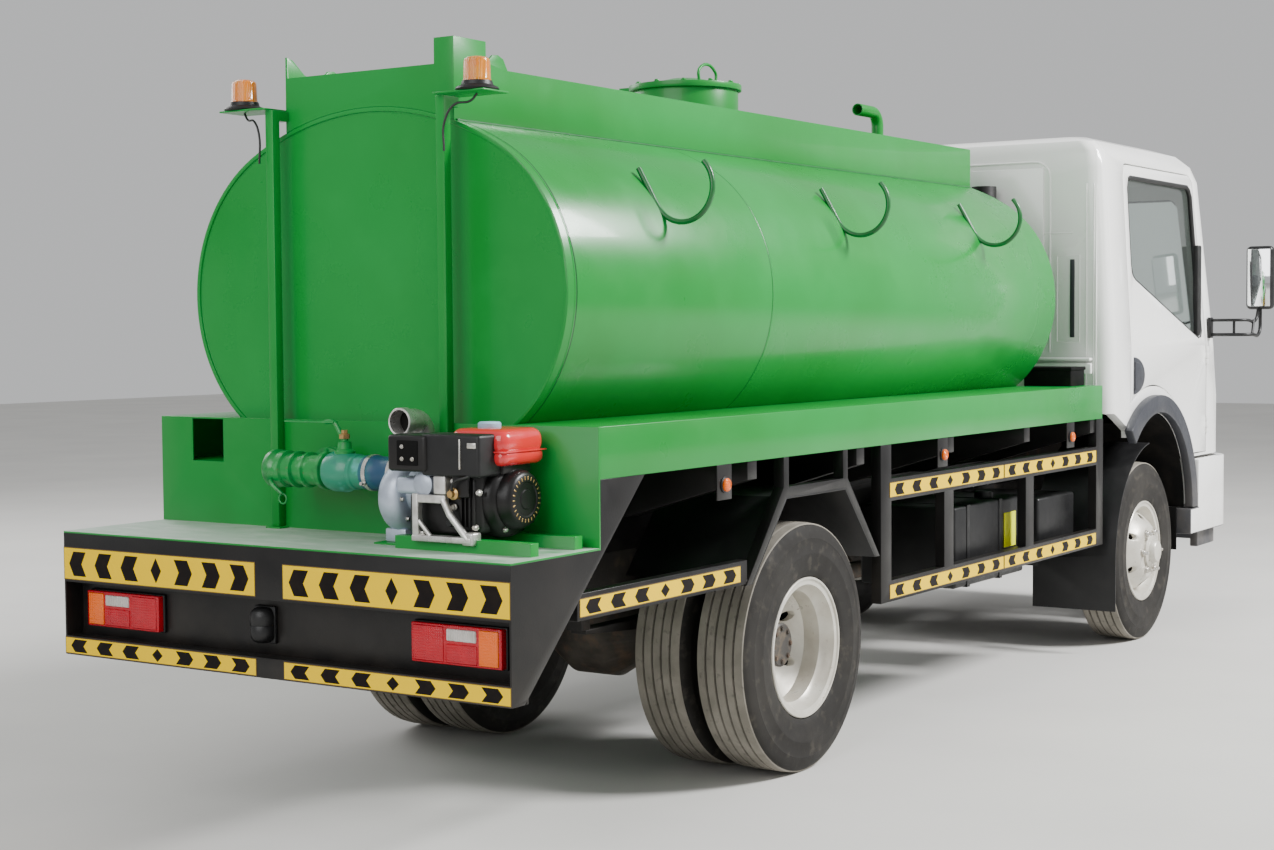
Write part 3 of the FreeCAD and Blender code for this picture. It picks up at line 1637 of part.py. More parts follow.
def door_hinges():
    """Ears and pins on the cab, knuckles on the left door, and the room that each needs in the other."""
    x = front_axle + s.door_front_ahead - s.door_gap / 2
    at = (x, s.cab_half_width + s.hinge_proud)
    link = (s.cab_half_width - s.hinge_link, s.cab_half_width)
    ears, knuckles_left, ear_room, knuckle_room, holes = [], [], [], [], []
    for low in (s.hinge_low, s.hinge_high):
        first = low + s.hinge_ear
        leaf = (first + s.hinge_gap, first + s.hinge_gap + s.hinge_leaf)
        last = leaf[1] + s.hinge_gap
        high = last + s.hinge_ear
        ears += [
            rod("z", s.hinge_knuckle, (low, first), at),
            rod("z", s.hinge_knuckle, (last, high), at),
            rod("z", s.hinge_pin, (low, high), at),
        ]
        knuckles_left += [
            rod("z", s.hinge_knuckle, leaf, at),
            block((x - s.hinge_room - s.hinge_knuckle, x), link, leaf),
        ]
        ear_room.append(rod("z", s.hinge_room, (low - s.hinge_gap, high + s.hinge_gap), at))
        knuckle_room.append(rod("z", s.hinge_room, (first, last), at))
        holes.append(rod("z", s.hinge_pin + s.paint_gap, (low, high), at))
    return ears, knuckles_left, ear_room, knuckle_room, holes


def head_lamp_block():
    return block(
        (cab_nose - s.head_lamp_recess, nose),
        width_at(s.head_lamp_out, s.head_lamp_width / 2),
        width_at(s.head_lamp_up, s.head_lamp_height / 2),
    )


def cab_floor():
    """The stepped floor, with the tilt pivot's tube and arms."""
    step = front_axle + s.footwell_ahead
    back = cab_back + s.cab_wall
    front = cab_nose - s.cab_wall
    thick = s.cab_floor_thickness
    high = s.cab_rear_sill
    low = s.door_sill
    outline = [
        (back, high),
        (step, high),
        (step, low),
        (front, low),
        (front, low + thick),
        (step + thick, low + thick),
        (step + thick, high + thick),
        (back, high + thick),
    ]
    plate = common(padded("XZ_Plane", width(s.cab_half_width - s.cab_wall - s.door_gap), outline), cab_room)
    tube = rod("y", s.pivot_radius, width(s.pivot_half), pivot)
    arm = block(
        width_at(pivot[0], s.pivot_arm / 2),
        width_at(s.pivot_arm_out, s.pivot_arm / 2),
        (pivot[1], low),
    )
    piece("cab_floor", fuse(plate, tube, *both_sides(arm)))


# How far the steering wheel leans towards the driver.
STEERING_LEAN = 35

# How deep the dashboard's foot is, as a share of its whole depth.
DASH_FOOT_SHARE = 1 / 3


def cab_interior():
    """Two seats, the dashboard and the steering wheel on its column."""
    floor = s.cab_rear_sill + s.cab_floor_thickness
    seat_rear = cab_back + s.cab_wall + s.seat_rear
    side = width_at(s.seat_out, s.seat_half_width)
    cushion_top = floor + s.seat_height
    cushion = block((seat_rear, seat_rear + s.seat_length), side, (floor, cushion_top))
    back = block((seat_rear, seat_rear + s.seat_back_depth), side, (floor, cushion_top + s.seat_back_height))
    well = s.door_sill + s.cab_floor_thickness
    front = cab_nose - s.cab_wall
    dash_top = s.cab_belt
    dash = padded(
        "XZ_Plane",
        width(s.dash_half_width),
        [
            (front, well),
            (front, s.cab_waist),
            (front - s.cab_belt_back, dash_top),
            (front - s.dash_depth, dash_top),
            (front - s.dash_depth, dash_top - s.dash_height / 2),
            (front - s.dash_depth * DASH_FOOT_SHARE, dash_top - s.dash_height),
            (front - s.dash_depth * DASH_FOOT_SHARE, well),
        ],
    )
    centre = (front_axle + s.steering_ahead, s.steering_out, s.steering_height)
    wheel = hoop(s.steering_wheel_radius, s.steering_rim, centre, Rotation(Vector(0, 1, 0), -STEERING_LEAN))
    column = doc.addObject("Part::Cylinder", "Column")
    bind(column, "Radius", s.column_radius)
    bind(column, "Height", s.column_length)
    column.Placement = Placement(Vector(), Rotation(Vector(0, 1, 0), 180 - STEERING_LEAN))
    for axis, value in zip("xyz", centre):
        bind(column, "Placement.Base." + axis, value)
    spoke = block(
        width_at(centre[0], s.column_radius / 2),
        width_at(centre[1], s.steering_wheel_radius),
        width_at(centre[2], s.steering_rim),
    )
    controls = fuse(common(dash, cab_room), column, wheel, spoke)
    piece("cab_interior", *both_sides(fuse(cushion, back)), controls)


def wrapped_band(front, half, back, wall, radius, span):
    """A band that runs across the nose and wraps round both corners."""
    return padded(
        "XY_Plane",
        span,
        [
            (back, -half),
            (front, -half, radius),
            (front, half, radius),
            (back, half),
            (back, half - wall),
            (front - wall, half - wall, radius - wall),
            (front - wall, -half + wall, radius - wall),
            (back, -half + wall),
        ],
    )


def front_bumper():
    """The bumper with its lower lip, the corner steps and the tabs that carry it on the cab."""
    half = s.bumper_half_width
    wall = s.front_bumper_wall
    back = front_axle + s.front_bumper_wrap
    step_front = front_axle + s.step_front_ahead
    span = (s.front_bumper_bottom, s.front_bumper_top)
    main = wrapped_band(nose, half, back, wall, s.front_bumper_radius, span)
    notch = block(
        (back - s.overrun, step_front),
        (half - wall - s.overrun, half + s.overrun),
        (s.front_bumper_bottom - s.overrun, s.step_top),
    )
    lip = wrapped_band(
        nose - s.valance_inset,
        half - s.valance_inset,
        step_front,
        wall,
        s.front_bumper_radius - s.valance_inset,
        (s.valance_bottom, s.front_bumper_bottom + s.overrun),
    )
    step = block(
        (front_axle + s.step_rear_ahead, step_front),
        (half - s.step_depth, half),
        (s.front_bumper_bottom, s.step_top),
    )
    tab = block(
        (cab_nose - s.cab_wall, nose - wall / 2),
        width_at(s.pivot_half, s.pivot_arm),
        (s.front_bumper_top - s.pivot_arm, s.cab_sill),
    )
    piece("front_bumper", fuse(cut(main, *both_sides(notch)), lip, *both_sides(step, tab)))


def arch_flares():
    """The plastic lip round each front wheel arch."""
    side = (s.cab_half_width, s.cab_half_width + s.flare_depth)
    lip = cut(
        rod("y", s.arch_radius + s.flare_width, side, arch_middle, s.flare_angle.value),
        rod("y", s.arch_radius, (side[0] - s.overrun, side[1] + s.overrun), arch_middle),
    )
    piece("arch_flares", *both_sides(lip))


def mirrors():
    """A mirror head on a bent arm, ahead of each door."""
    root = front_axle + s.mirror_root_ahead
    head_x = front_axle + s.mirror_ahead
    head_y = s.mirror_inner + s.mirror_width / 2
    pad = block(
        width_at(root, s.mirror_pad_width / 2),
        (s.cab_half_width - s.mirror_pad_seat, s.cab_half_width + s.mirror_pad_depth),
        width_at(s.mirror_arm_height, s.mirror_pad_width),
    )
    height = s.mirror_arm_height
    along = (root - s.mirror_arm / 2, head_x + s.mirror_arm / 2)
    arm = [
        rod("y", s.mirror_arm, (s.cab_half_width, head_y + s.mirror_arm / 2), (root, height)),
        rod("x", s.mirror_arm, along, (head_y, height)),
        rod("z", s.mirror_arm, (height, s.mirror_bottom + s.overrun), (head_x, head_y)),
    ]
    head = block(
        width_at(head_x, s.mirror_depth / 2),
        width_at(head_y, s.mirror_width / 2),
        (s.mirror_bottom, s.mirror_top),
    )
    piece("mirrors", *both_sides(fuse(pad, *arm, head)))


MAKERS = (
    chassis_frame,
    tank_bearers,
    tank_shell,
    coaming,
    tank_fittings,
    manhole_lid,
    hose_hooks,
    hose_trays,
    rear_wall,
    rear_bumper,
    lamps,
    rear_posts,
    suction_pipe,
    pump_casing,
    pump_engine,
    side_guards,
    mudguards,
    side_boxes,
    rear_axle_piece,
    leaf_springs,
    front_axle_piece,
    knuckles,
    wheels,
    power_train,
    engine_pipes,
    cab_pieces,
    cab_floor,
    cab_interior,
    front_bumper,
    arch_flares,
    mirrors,
)


def write_pieces():
    """Check the whole document, then write one file for each piece."""
    doc.recompute()
    broken = [thing.Label for thing in doc.Objects if {"Invalid", "Error"} & set(thing.State)]
    broken += [whole.Label for whole in pieces if whole.Shape.isNull() or not whole.Shape.isValid()]
    if broken:
        raise SystemExit("these did not build: " + ", ".join(broken))
    os.makedirs("parts", exist_ok=True)
    for whole in pieces:
        whole.Shape.exportStep(f"parts/{whole.Label}.step")


for make in MAKERS:
    make()
write_pieces()
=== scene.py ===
import json
import math

import bpy
from mathutils import Matrix, Vector


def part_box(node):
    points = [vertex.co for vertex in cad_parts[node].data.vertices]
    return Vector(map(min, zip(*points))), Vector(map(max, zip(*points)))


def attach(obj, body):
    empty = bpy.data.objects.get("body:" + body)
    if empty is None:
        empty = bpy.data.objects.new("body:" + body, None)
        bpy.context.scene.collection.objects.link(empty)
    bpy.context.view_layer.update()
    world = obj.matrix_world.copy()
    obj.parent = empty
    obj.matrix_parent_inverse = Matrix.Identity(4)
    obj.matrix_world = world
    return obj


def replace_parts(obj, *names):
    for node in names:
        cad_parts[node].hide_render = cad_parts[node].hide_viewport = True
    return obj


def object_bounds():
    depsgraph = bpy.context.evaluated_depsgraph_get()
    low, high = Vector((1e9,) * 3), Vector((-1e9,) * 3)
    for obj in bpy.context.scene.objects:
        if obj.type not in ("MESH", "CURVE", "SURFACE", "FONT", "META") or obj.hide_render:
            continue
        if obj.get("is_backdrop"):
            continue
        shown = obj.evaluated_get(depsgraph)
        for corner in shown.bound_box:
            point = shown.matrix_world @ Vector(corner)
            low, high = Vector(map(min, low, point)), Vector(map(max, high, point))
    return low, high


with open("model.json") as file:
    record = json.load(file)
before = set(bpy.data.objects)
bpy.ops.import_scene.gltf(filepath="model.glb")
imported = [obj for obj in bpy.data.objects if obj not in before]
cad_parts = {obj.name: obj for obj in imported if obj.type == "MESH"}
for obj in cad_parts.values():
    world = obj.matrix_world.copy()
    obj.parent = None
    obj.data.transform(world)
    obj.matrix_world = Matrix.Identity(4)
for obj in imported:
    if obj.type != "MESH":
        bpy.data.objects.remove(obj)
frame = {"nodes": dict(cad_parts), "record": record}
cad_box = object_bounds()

SPECK = 1e-6
WELD = 1e-5
FULL_TURN = 2 * math.pi
SIDES = (("left", 1), ("right", -1))
ALONG = {"x": Vector((1, 0, 0)), "y": Vector((0, 1, 0)), "z": Vector((0, 0, 1))}
LAID = {"x": (0, math.pi / 2, 0), "y": (math.pi / 2, 0, 0), "z": (0, 0, 0)}


# Handling of shapes
def deselect():
    bpy.ops.object.select_all(action="DESELECT")


def take(shape):
    """Select one shape alone."""
    deselect()
    shape.select_set(True)
    bpy.context.view_layer.objects.active = shape
    return shape


def settle(name):
    """Write the new shape's place into its mesh and name it."""
    bpy.ops.object.transform_apply(location=True, rotation=True, scale=True)
    shape = bpy.context.object
    shape.name = name
    return shape


def edit():
    """Open the active shape for editing, all of it selected."""
    bpy.ops.object.mode_set(mode="EDIT")
    bpy.ops.mesh.select_all(action="SELECT")


def done():
    bpy.ops.object.mode_set(mode="OBJECT")


def apply_modifier(shape, kind, **settings):
    take(shape)
    change = shape.modifiers.new(kind.title(), kind)
    for name, value in settings.items():
        setattr(change, name, value)
    bpy.ops.object.modifier_apply(modifier=change.name)
    return shape


def round_edges(shape, width, steps=2, angle=32):
    return apply_modifier(
        shape, "BEVEL", width=width, segments=steps, limit_method="ANGLE", angle_limit=math.radians(angle)
    )


def smooth(shape, angle=35):
    take(shape)
    bpy.ops.object.shade_smooth_by_angle(angle=math.radians(angle))
    return shape


def outward(shape):
    """Close seams and turn all faces outwards."""
    take(shape)
    edit()
    bpy.ops.mesh.remove_doubles(threshold=WELD)
    bpy.ops.mesh.normals_make_consistent(inside=False)
    done()
    return shape


def slab(name, low, high, edge=0.002, steps=2):
    """A block between two corners, its edges rounded."""
    deselect()
    bpy.ops.mesh.primitive_cube_add(size=1, location=[(a + b) / 2 for a, b in zip(low, high)])
    bpy.context.object.scale = [abs(b - a) for a, b in zip(low, high)]
    return smooth(round_edges(settle(name), edge, steps))


def turned(name, axis, at, outline, steps=72, angle=35):
    """Extrude a circle ring by ring along an outline of (place along the axle from a point, radius).

    An outline that comes back to its start makes a ring. Any other makes a solid with a flat start, and
    with a flat end too, unless its last radius is 0.
    """
    along = ALONG[axis]
    at = Vector(at)
    solid = outline[0] != outline[-1]
    if solid and outline[-1][1]:
        outline = [*outline, (outline[-1][0], 0)]
    place, radius = outline[0]
    deselect()
    bpy.ops.mesh.primitive_circle_add(
        vertices=steps, radius=radius, location=at + along * place, rotation=LAID[axis]
    )
    shape = settle(name)
    edit()
    for next_place, next_radius in outline[1:]:
        bpy.ops.mesh.extrude_region()
        bpy.ops.transform.translate(value=along * (next_place - place))
        spread = max(next_radius, SPECK) / radius
        bpy.ops.transform.resize(
            value=[1 if part else spread for part in along], center_override=at + along * next_place
        )
        place, radius = next_place, next_radius
    if solid:
        bpy.ops.mesh.select_all(action="DESELECT")
        done()
        for corner in shape.data.vertices[:steps]:
            corner.select = True
        bpy.ops.object.mode_set(mode="EDIT")
        bpy.ops.mesh.edge_face_add()
    done()
    return smooth(outward(shape), angle)


def bent_bar(name, points, radius, straight=False, around=3, smoothness=6):
    """A round bar along a line of points."""
    deselect()
    bpy.ops.curve.primitive_bezier_curve_add(location=(0, 0, 0))
    line = bpy.context.object
    run = line.data.splines[0]
    run.bezier_points.add(len(points) - 2)
    for knot, point in zip(run.bezier_points, points):
        knot.co = point
        knot.handle_left_type = knot.handle_right_type = "VECTOR" if straight else "AUTO"
    line.data.bevel_depth = radius
    line.data.bevel_resolution = around
    line.data.resolution_u = 1 if straight else smoothness
    line.data.use_fill_caps = True
    bpy.ops.object.convert(target="MESH")
    return smooth(outward(settle(name)), 50)


def hoop(name, centre, axle, radius, wire, steps=40, around=8):
    """A ring of round wire: its section spun round an axle."""
    side = axle.orthogonal().normalized()
    lay = axle.cross(side).to_track_quat("Z", "Y").to_euler()
    deselect()
    bpy.ops.mesh.primitive_circle_add(
        vertices=around, radius=wire, location=centre + side * radius, rotation=lay
    )
    shape = settle(name)
    edit()
    bpy.ops.mesh.spin(steps=steps, angle=FULL_TURN, center=centre, axis=axle)
    done()
    return smooth(outward(shape), 50)


def join(name, shapes):
    deselect()
    for shape in shapes:
        shape.select_set(True)
    bpy.context.view_layer.objects.active = shapes[0]
    bpy.ops.object.join()
    shapes[0].name = name
    return shapes[0]


def ring_of(shape, count, axis, centre):
    """Copies of a shape round an axle, joined with it."""
    copies = [shape]
    for i in range(1, count):
        take(shape)
        bpy.ops.object.duplicate(linked=False)
        bpy.ops.transform.rotate(
            value=FULL_TURN * i / count, orient_axis=axis.upper(), center_override=centre
        )
        copies.append(settle(shape.name))
    return join(copies[0].name, copies)


def other_side(shape):
    """The same shape on the other side of the truck, named for that side."""
    here, there = ("left", "right") if "left" in shape.name else ("right", "left")
    take(shape)
    bpy.ops.object.duplicate(linked=False)
    bpy.ops.transform.resize(value=(1, -1, 1), center_override=(0, 0, 0))
    twin = settle(shape.name.replace(here, there))
    edit()
    bpy.ops.mesh.normals_make_consistent(inside=False)
    done()
    return twin


def bolt(name, axis, at, size=0.011, height=0.008):
    """A six sided bolt head on its washer, standing towards the side that the height points to."""
    parts = []
    for sides, wide, thick, up in ((6, 1, 1, 0.5), (20, 1.25, 0.3, 0.1)):
        deselect()
        bpy.ops.mesh.primitive_cylinder_add(
            vertices=sides, radius=size * wide, depth=abs(height) * thick,
            location=Vector(at) + ALONG[axis] * (height * up), rotation=LAID[axis],
        )
        parts.append(settle(name))
    round_edges(parts[0], size * 0.12, 1)
    return smooth(join(name, parts))


# Finishes
def socket(node, name):
    return next(s for s in node.inputs if s.name == name and s.enabled)


class Finish:
    """A material made of plain layers on the object's own coordinates."""

    def __init__(self, name, colour, rough, metal=0, coat=0, see_through=0, shine=0.5):
        self.material = bpy.data.materials.new(name)
        self.material.use_nodes = True
        self.tree = self.material.node_tree
        self.shader = next(n for n in self.tree.nodes if n.type == "BSDF_PRINCIPLED")
        for name, value in (
            ("Base Color", colour), ("Metallic", metal), ("Coat Weight", coat), ("Coat Roughness", 0.08),
            ("Transmission Weight", see_through), ("Roughness", rough), ("Specular IOR Level", shine),
        ):
            self.feed(value, self.shader.inputs[name])
        self.rough = rough
        self.coords = self.node("TexCoord").outputs["Object"]
        self.colour = colour
        self.bump = None

    def feed(self, value, place):
        """Set a plain value on a socket, or link another node's result to it."""
        if isinstance(value, bpy.types.NodeSocket):
            self.tree.links.new(value, place)
        else:
            place.default_value = (*value, 1) if place.type == "RGBA" else value

    def node(self, kind, **values):
        node = self.tree.nodes.new("ShaderNode" + kind)
        for name, value in values.items():
            self.feed(value, node.inputs[name.replace("_", " ")])
        return node

    def noise(self, scale, detail=4, stretch=(1, 1, 1)):
        spot = self.node("Mapping", Vector=self.coords, Scale=stretch).outputs[0]
        return self.node("TexNoise", Vector=spot, Scale=scale, Detail=detail, Roughness=0.55).outputs[0]

    def span(self, source, low, high, first=0, last=1):
        return self.node(
            "MapRange", Value=source, From_Min=low, From_Max=high, To_Min=first, To_Max=last
        ).outputs[0]

    def sum(self, kind, first, second=0):
        node = self.node("Math")
        node.operation = kind
        self.feed(first, node.inputs[0])
        self.feed(second, node.inputs[1])
        return node.outputs[0]

    def axis(self, name):
        return self.node("SeparateXYZ", Vector=self.coords).outputs[name]

    def away(self, axis, at):
        """The distance from one place along an axis."""
        return self.sum("ABSOLUTE", self.sum("SUBTRACT", self.axis(axis), at))

    def layer(self, colour, amount):
        """Lay a second colour over the first where amount is 1."""
        mix = self.node("Mix")
        mix.data_type = "RGBA"
        self.feed(amount, mix.inputs["Factor"])
        self.feed(self.colour, socket(mix, "A"))
        self.feed(colour, socket(mix, "B"))
        self.colour = next(o for o in mix.outputs if o.enabled)
        self.feed(self.colour, self.shader.inputs["Base Color"])
        return self

    def patches(self, colour, scale, low=0.4, high=0.65, amount=1, stretch=(1, 1, 1)):
        return self.layer(colour, self.span(self.noise(scale, stretch=stretch), low, high, 0, amount))

    def dust(self, colour, top, bottom, amount, scale=7):
        """Dust that thickens towards the road."""
        height = self.span(self.axis("Z"), bottom, top, amount, 0)
        return self.layer(colour, self.sum("MULTIPLY", height, self.span(self.noise(scale, 6), 0.35, 0.65)))

    def gloss(self, spread, scale):
        rough = self.span(self.noise(scale, 5), 0.3, 0.7, self.rough - spread, self.rough + spread)
        self.feed(rough, self.shader.inputs["Roughness"])
        return self

    def raise_by(self, source, depth):
        node = self.node("Bump", Strength=1, Distance=depth, Height=source)
        if self.bump:
            self.feed(self.bump, node.inputs["Normal"])
        self.bump = node.outputs[0]
        self.feed(self.bump, self.shader.inputs["Normal"])
        return self

    def grain(self, scale, depth, detail=3):
        return self.raise_by(self.noise(scale, detail), depth)

    def waves(self, axis, spacing, depth):
        angle = self.sum("MULTIPLY", self.axis(axis), FULL_TURN / spacing)
        return self.raise_by(self.sum("SINE", angle), depth)

    def band(self, colour, axis, at, half):
        """A narrow band of another colour at one place along an axis; the tank uses it to paint shade at
        its weld seams.
        """
        return self.layer(colour, self.span(self.away(axis, at), half * 0.5, half, 1, 0))

    def seam(self, axis, at, half, height):
        """A welded seam that stands up round the piece at one place along an axis."""
        return self.raise_by(self.span(self.away(axis, at), 0, half, 1, 0), height)


DUST = (0.36, 0.31, 0.25)
GREEN = (0, 0.255, 0.034)
DEEP_GREEN = (0, 0.215, 0.022)
BRIGHT_GREEN = (0.004, 0.3, 0.045)


def uneven_green(name, rough, coat):
    """The truck's green, a little uneven in colour and gloss."""
    finish = Finish(name, GREEN, rough, coat=coat, shine=0.35).patches(DEEP_GREEN, 0.9, 0.42, 0.62)
    return finish.patches(BRIGHT_GREEN, 3, 0.55, 0.8, 0.5).gloss(0.07, 3)


green_paint = uneven_green("green_paint", 0.34, 0.12).grain(260, 0.0001).grain(2.2, 0.003, 1)
tank_paint = (
    uneven_green("tank_green_paint", 0.3, 0.15)
    # The two dark green bands are painted shade along the steps of the tank's weld seams.
    .band((0, 0.1, 0.012), "X", -1.506, 0.003)
    .band((0, 0.045, 0.006), "X", -2.668, 0.004)
    .seam("X", -1.5, 0.006, 0.0022).seam("X", -2.674, 0.007, 0.0022)
    .grain(260, 0.0001).grain(1.6, 0.006, 1)
)
# Dark green of the hose hooks, also used as painted shade on the weld beads at the coaming's foot.
hook_and_shade_paint = (
    Finish("hook_green_paint", (0, 0.125, 0.02), 0.35, coat=0.2)
    .patches((0, 0.09, 0.015), 20, 0.42, 0.62).grain(200, 0.0002)
)
deck_paint = (
    Finish("worn_green_paint", (0.3, 0.43, 0.32), 0.5)
    .patches((0.02, 0.25, 0.06), 2.2, 0.58, 0.66, 0.7)
    .patches((0.46, 0.53, 0.45), 7, 0.48, 0.7, 0.8, (3, 1, 1))
    .patches((0.16, 0.15, 0.11), 34, 0.68, 0.76, 0.6)
    .gloss(0.14, 6).grain(120, 0.0004)
)
white_paint = (
    Finish("white_paint", (0.93, 0.93, 0.91), 0.24, coat=0.5)
    .patches((0.88, 0.88, 0.85), 1.7, 0.4, 0.7, 0.5)
    .dust(DUST, 0.8, 0.4, 0.2).gloss(0.06, 3).grain(300, 0.00008)
)
black_paint = (
    Finish("black_satin_paint", (0.006, 0.0055, 0.0055), 0.38, shine=0.35)
    .patches((0.012, 0.01, 0.009), 6, 0.5, 0.75, 0.8)
    .dust((0.12, 0.095, 0.07), 0.8, 0.2, 0.2).gloss(0.08, 8).grain(140, 0.0003)
)
chassis_paint = (
    Finish("chassis_paint", (0.008, 0.0075, 0.0075), 0.55, shine=0.3)
    .patches((0.04, 0.028, 0.02), 14, 0.6, 0.72, 0.7)
    .dust((0.14, 0.11, 0.08), 1, 0.2, 0.3).gloss(0.15, 8).grain(90, 0.0006)
)
wheel_paint = (
    Finish("silver_wheel_paint", (0.66, 0.64, 0.57), 0.36, metal=0.25)
    .patches((0.5, 0.46, 0.39), 9, 0.42, 0.7, 0.8)
    .patches((0.24, 0.17, 0.11), 40, 0.66, 0.75, 0.7)
    .dust(DUST, 0.75, 0.1, 0.3, 12).gloss(0.12, 12).grain(200, 0.0002)
)
hub_paint = (
    Finish("dark_hub_paint", (0.05, 0.046, 0.042), 0.5, metal=0.2)
    .patches((0.16, 0.12, 0.08), 30, 0.5, 0.7, 0.7).gloss(0.12, 12).grain(200, 0.0004)
)
cast_aluminium = (
    Finish("cast_aluminium", (0.5, 0.56, 0.66), 0.42, metal=0.55)
    .patches((0.36, 0.4, 0.47), 16, 0.45, 0.7, 0.8).gloss(0.12, 20).grain(420, 0.0002)
)
bare_aluminium = (
    Finish("bare_aluminium", (0.72, 0.71, 0.68), 0.34, metal=0.8)
    .patches((0.45, 0.43, 0.4), 22, 0.45, 0.7, 0.8).gloss(0.12, 20).grain(300, 0.0006)
)
cast_iron = (
    Finish("cast_iron", (0.045, 0.038, 0.033), 0.7, metal=0.3)
    .patches((0.14, 0.075, 0.04), 18, 0.5, 0.7, 0.8).dust(DUST, 0.9, 0.1, 0.35).grain(160, 0.001)
)
bright_zinc = (
    Finish("zinc_plating", (0.66, 0.64, 0.6), 0.3, metal=0.9)
    .patches((0.42, 0.35, 0.24), 60, 0.5, 0.7, 0.7).gloss(0.1, 40)
)
tyre_rubber = (
    Finish("tyre_rubber", (0.014, 0.0125, 0.011), 0.72, shine=0.3)
    .patches((0.03, 0.027, 0.023), 4, 0.45, 0.7, 0.8)
    .patches((0.085, 0.074, 0.058), 22, 0.55, 0.78, 0.5)
    .gloss(0.1, 10).grain(350, 0.0004)
)
tread_rubber = (
    Finish("tread_rubber", (0.2, 0.185, 0.155), 0.9, shine=0.2)
    .patches((0.3, 0.275, 0.235), 9, 0.4, 0.65, 0.8)
    .patches((0.07, 0.064, 0.055), 30, 0.6, 0.75, 0.7)
    .grain(500, 0.0005)
)
black_plastic = (
    Finish("black_plastic", (0.007, 0.007, 0.0075), 0.42, shine=0.4)
    .patches((0.014, 0.014, 0.014), 7, 0.5, 0.75, 0.8).gloss(0.08, 20).grain(700, 0.0003)
)
flare_plastic = (
    Finish("dark_grey_plastic", (0.03, 0.032, 0.04), 0.45)
    .patches((0.05, 0.052, 0.06), 6, 0.45, 0.7, 0.8)
    .dust(DUST, 0.9, 0.4, 0.2).gloss(0.08, 20).grain(600, 0.0003)
)
# Black plastic of the arch liners and the tray box, also used as painted shade inside the wheel arches, the
# spout's mouth and on the air box.
liner_and_shade_plastic = (
    Finish("black_liner_plastic", (0.006, 0.006, 0.006), 0.8, shine=0.1)
    .patches((0.016, 0.014, 0.012), 9, 0.45, 0.7, 0.8).grain(200, 0.0008)
)
cabin_plastic = (
    Finish("cabin_plastic", (0.13, 0.13, 0.135), 0.6)
    .patches((0.18, 0.18, 0.18), 4, 0.45, 0.7, 0.7).grain(500, 0.0005)
)
seat_cloth = (
    Finish("seat_cloth", (0.085, 0.09, 0.105), 0.9)
    .patches((0.14, 0.14, 0.15), 60, 0.45, 0.6, 0.8).waves("Y", 0.05, 0.0012).grain(800, 0.0008)
)
rubber_trim = (
    Finish("rubber_trim", (0.008, 0.008, 0.008), 0.5)
    .patches((0.022, 0.022, 0.022), 20, 0.5, 0.7, 0.7).grain(300, 0.0002)
)
amber_lens = (
    Finish("amber_lens", (0.9, 0.15, 0), 0.15, coat=0.2, see_through=0.1)
    .patches((0.9, 0.13, 0), 30, 0.4, 0.7, 0.6).waves("Z", 0.008, 0.0003).waves("Y", 0.008, 0.0003)
)
beacon_lens = (
    Finish("beacon_lens", (1, 0.34, 0), 0.12, coat=0.6, see_through=0.4)
    .patches((1, 0.2, 0), 25, 0.4, 0.7, 0.7).waves("Y", 0.008, 0.001)
)
red_lens = (
    Finish("red_lens", (0.52, 0, 0.012), 0.14, coat=0.3, see_through=0.1, shine=0.4)
    .patches((0.4, 0, 0.01), 30, 0.4, 0.7, 0.7).waves("Z", 0.008, 0.0003).waves("Y", 0.008, 0.0003)
)
clear_lens = (
    Finish("clear_lens", (0.8, 0.79, 0.74), 0.14, coat=0.6, see_through=0.35)
    .patches((0.62, 0.6, 0.54), 35, 0.4, 0.7, 0.8).waves("Y", 0.008, 0.0006)
)
yellow_sheet = (
    Finish("yellow_reflective_sheet", (0.88, 0.58, 0), 0.6, shine=0.1)
    .patches((0.86, 0.57, 0), 20, 0.4, 0.7, 0.7).grain(1500, 0.00015)
)
black_print = (
    Finish("black_print", (0.004, 0.002, 0.002), 0.5, shine=0.15)
    .patches((0.01, 0.006, 0.004), 25, 0.4, 0.7, 0.8)
)
border_print = (
    Finish("border_print", (0.1, 0.06, 0.015), 0.4).patches((0.06, 0.035, 0.01), 25, 0.4, 0.7, 0.8)
)
red_enamel = (
    Finish("red_enamel", (0.66, 0.015, 0.022), 0.22, coat=0.6)
    .patches((0.74, 0.05, 0.055), 9, 0.5, 0.75, 0.7).gloss(0.08, 20).grain(200, 0.0001)
)
hose_rubber = (
    Finish("blue_hose", (0.008, 0.055, 0.12), 0.4)
    .patches((0.012, 0.12, 0.14), 12, 0.45, 0.65, 0.9)
    .patches((0.004, 0.02, 0.05), 6, 0.55, 0.66, 0.9)
    .gloss(0.1, 20).grain(260, 0.0002)
)
teal_paint = (
    Finish("teal_sprayed_pipe", (0.01, 0.23, 0.13), 0.36, coat=0.2)
    .patches((0.1, 0.44, 0.4), 14, 0.5, 0.66, 0.9)
    .patches((0, 0.12, 0.1), 9, 0.56, 0.66, 0.8)
    .gloss(0.1, 20).grain(260, 0.0003)
)
sprayed_fittings = (
    Finish("sprayed_fittings", (0, 0.24, 0.04), 0.35, coat=0.2)
    .patches((0.1, 0.42, 0.16), 22, 0.56, 0.7, 0.7)
    .patches((0, 0.1, 0.02), 12, 0.55, 0.68, 0.8)
    .patches((0.14, 0.09, 0.05), 45, 0.68, 0.76, 0.7)
    .gloss(0.1, 20).grain(180, 0.0004)
)
brass = (
    Finish("brass", (0.56, 0.36, 0.14), 0.35, metal=0.9)
    .patches((0.3, 0.2, 0.09), 50, 0.45, 0.7, 0.8).gloss(0.1, 30)
)
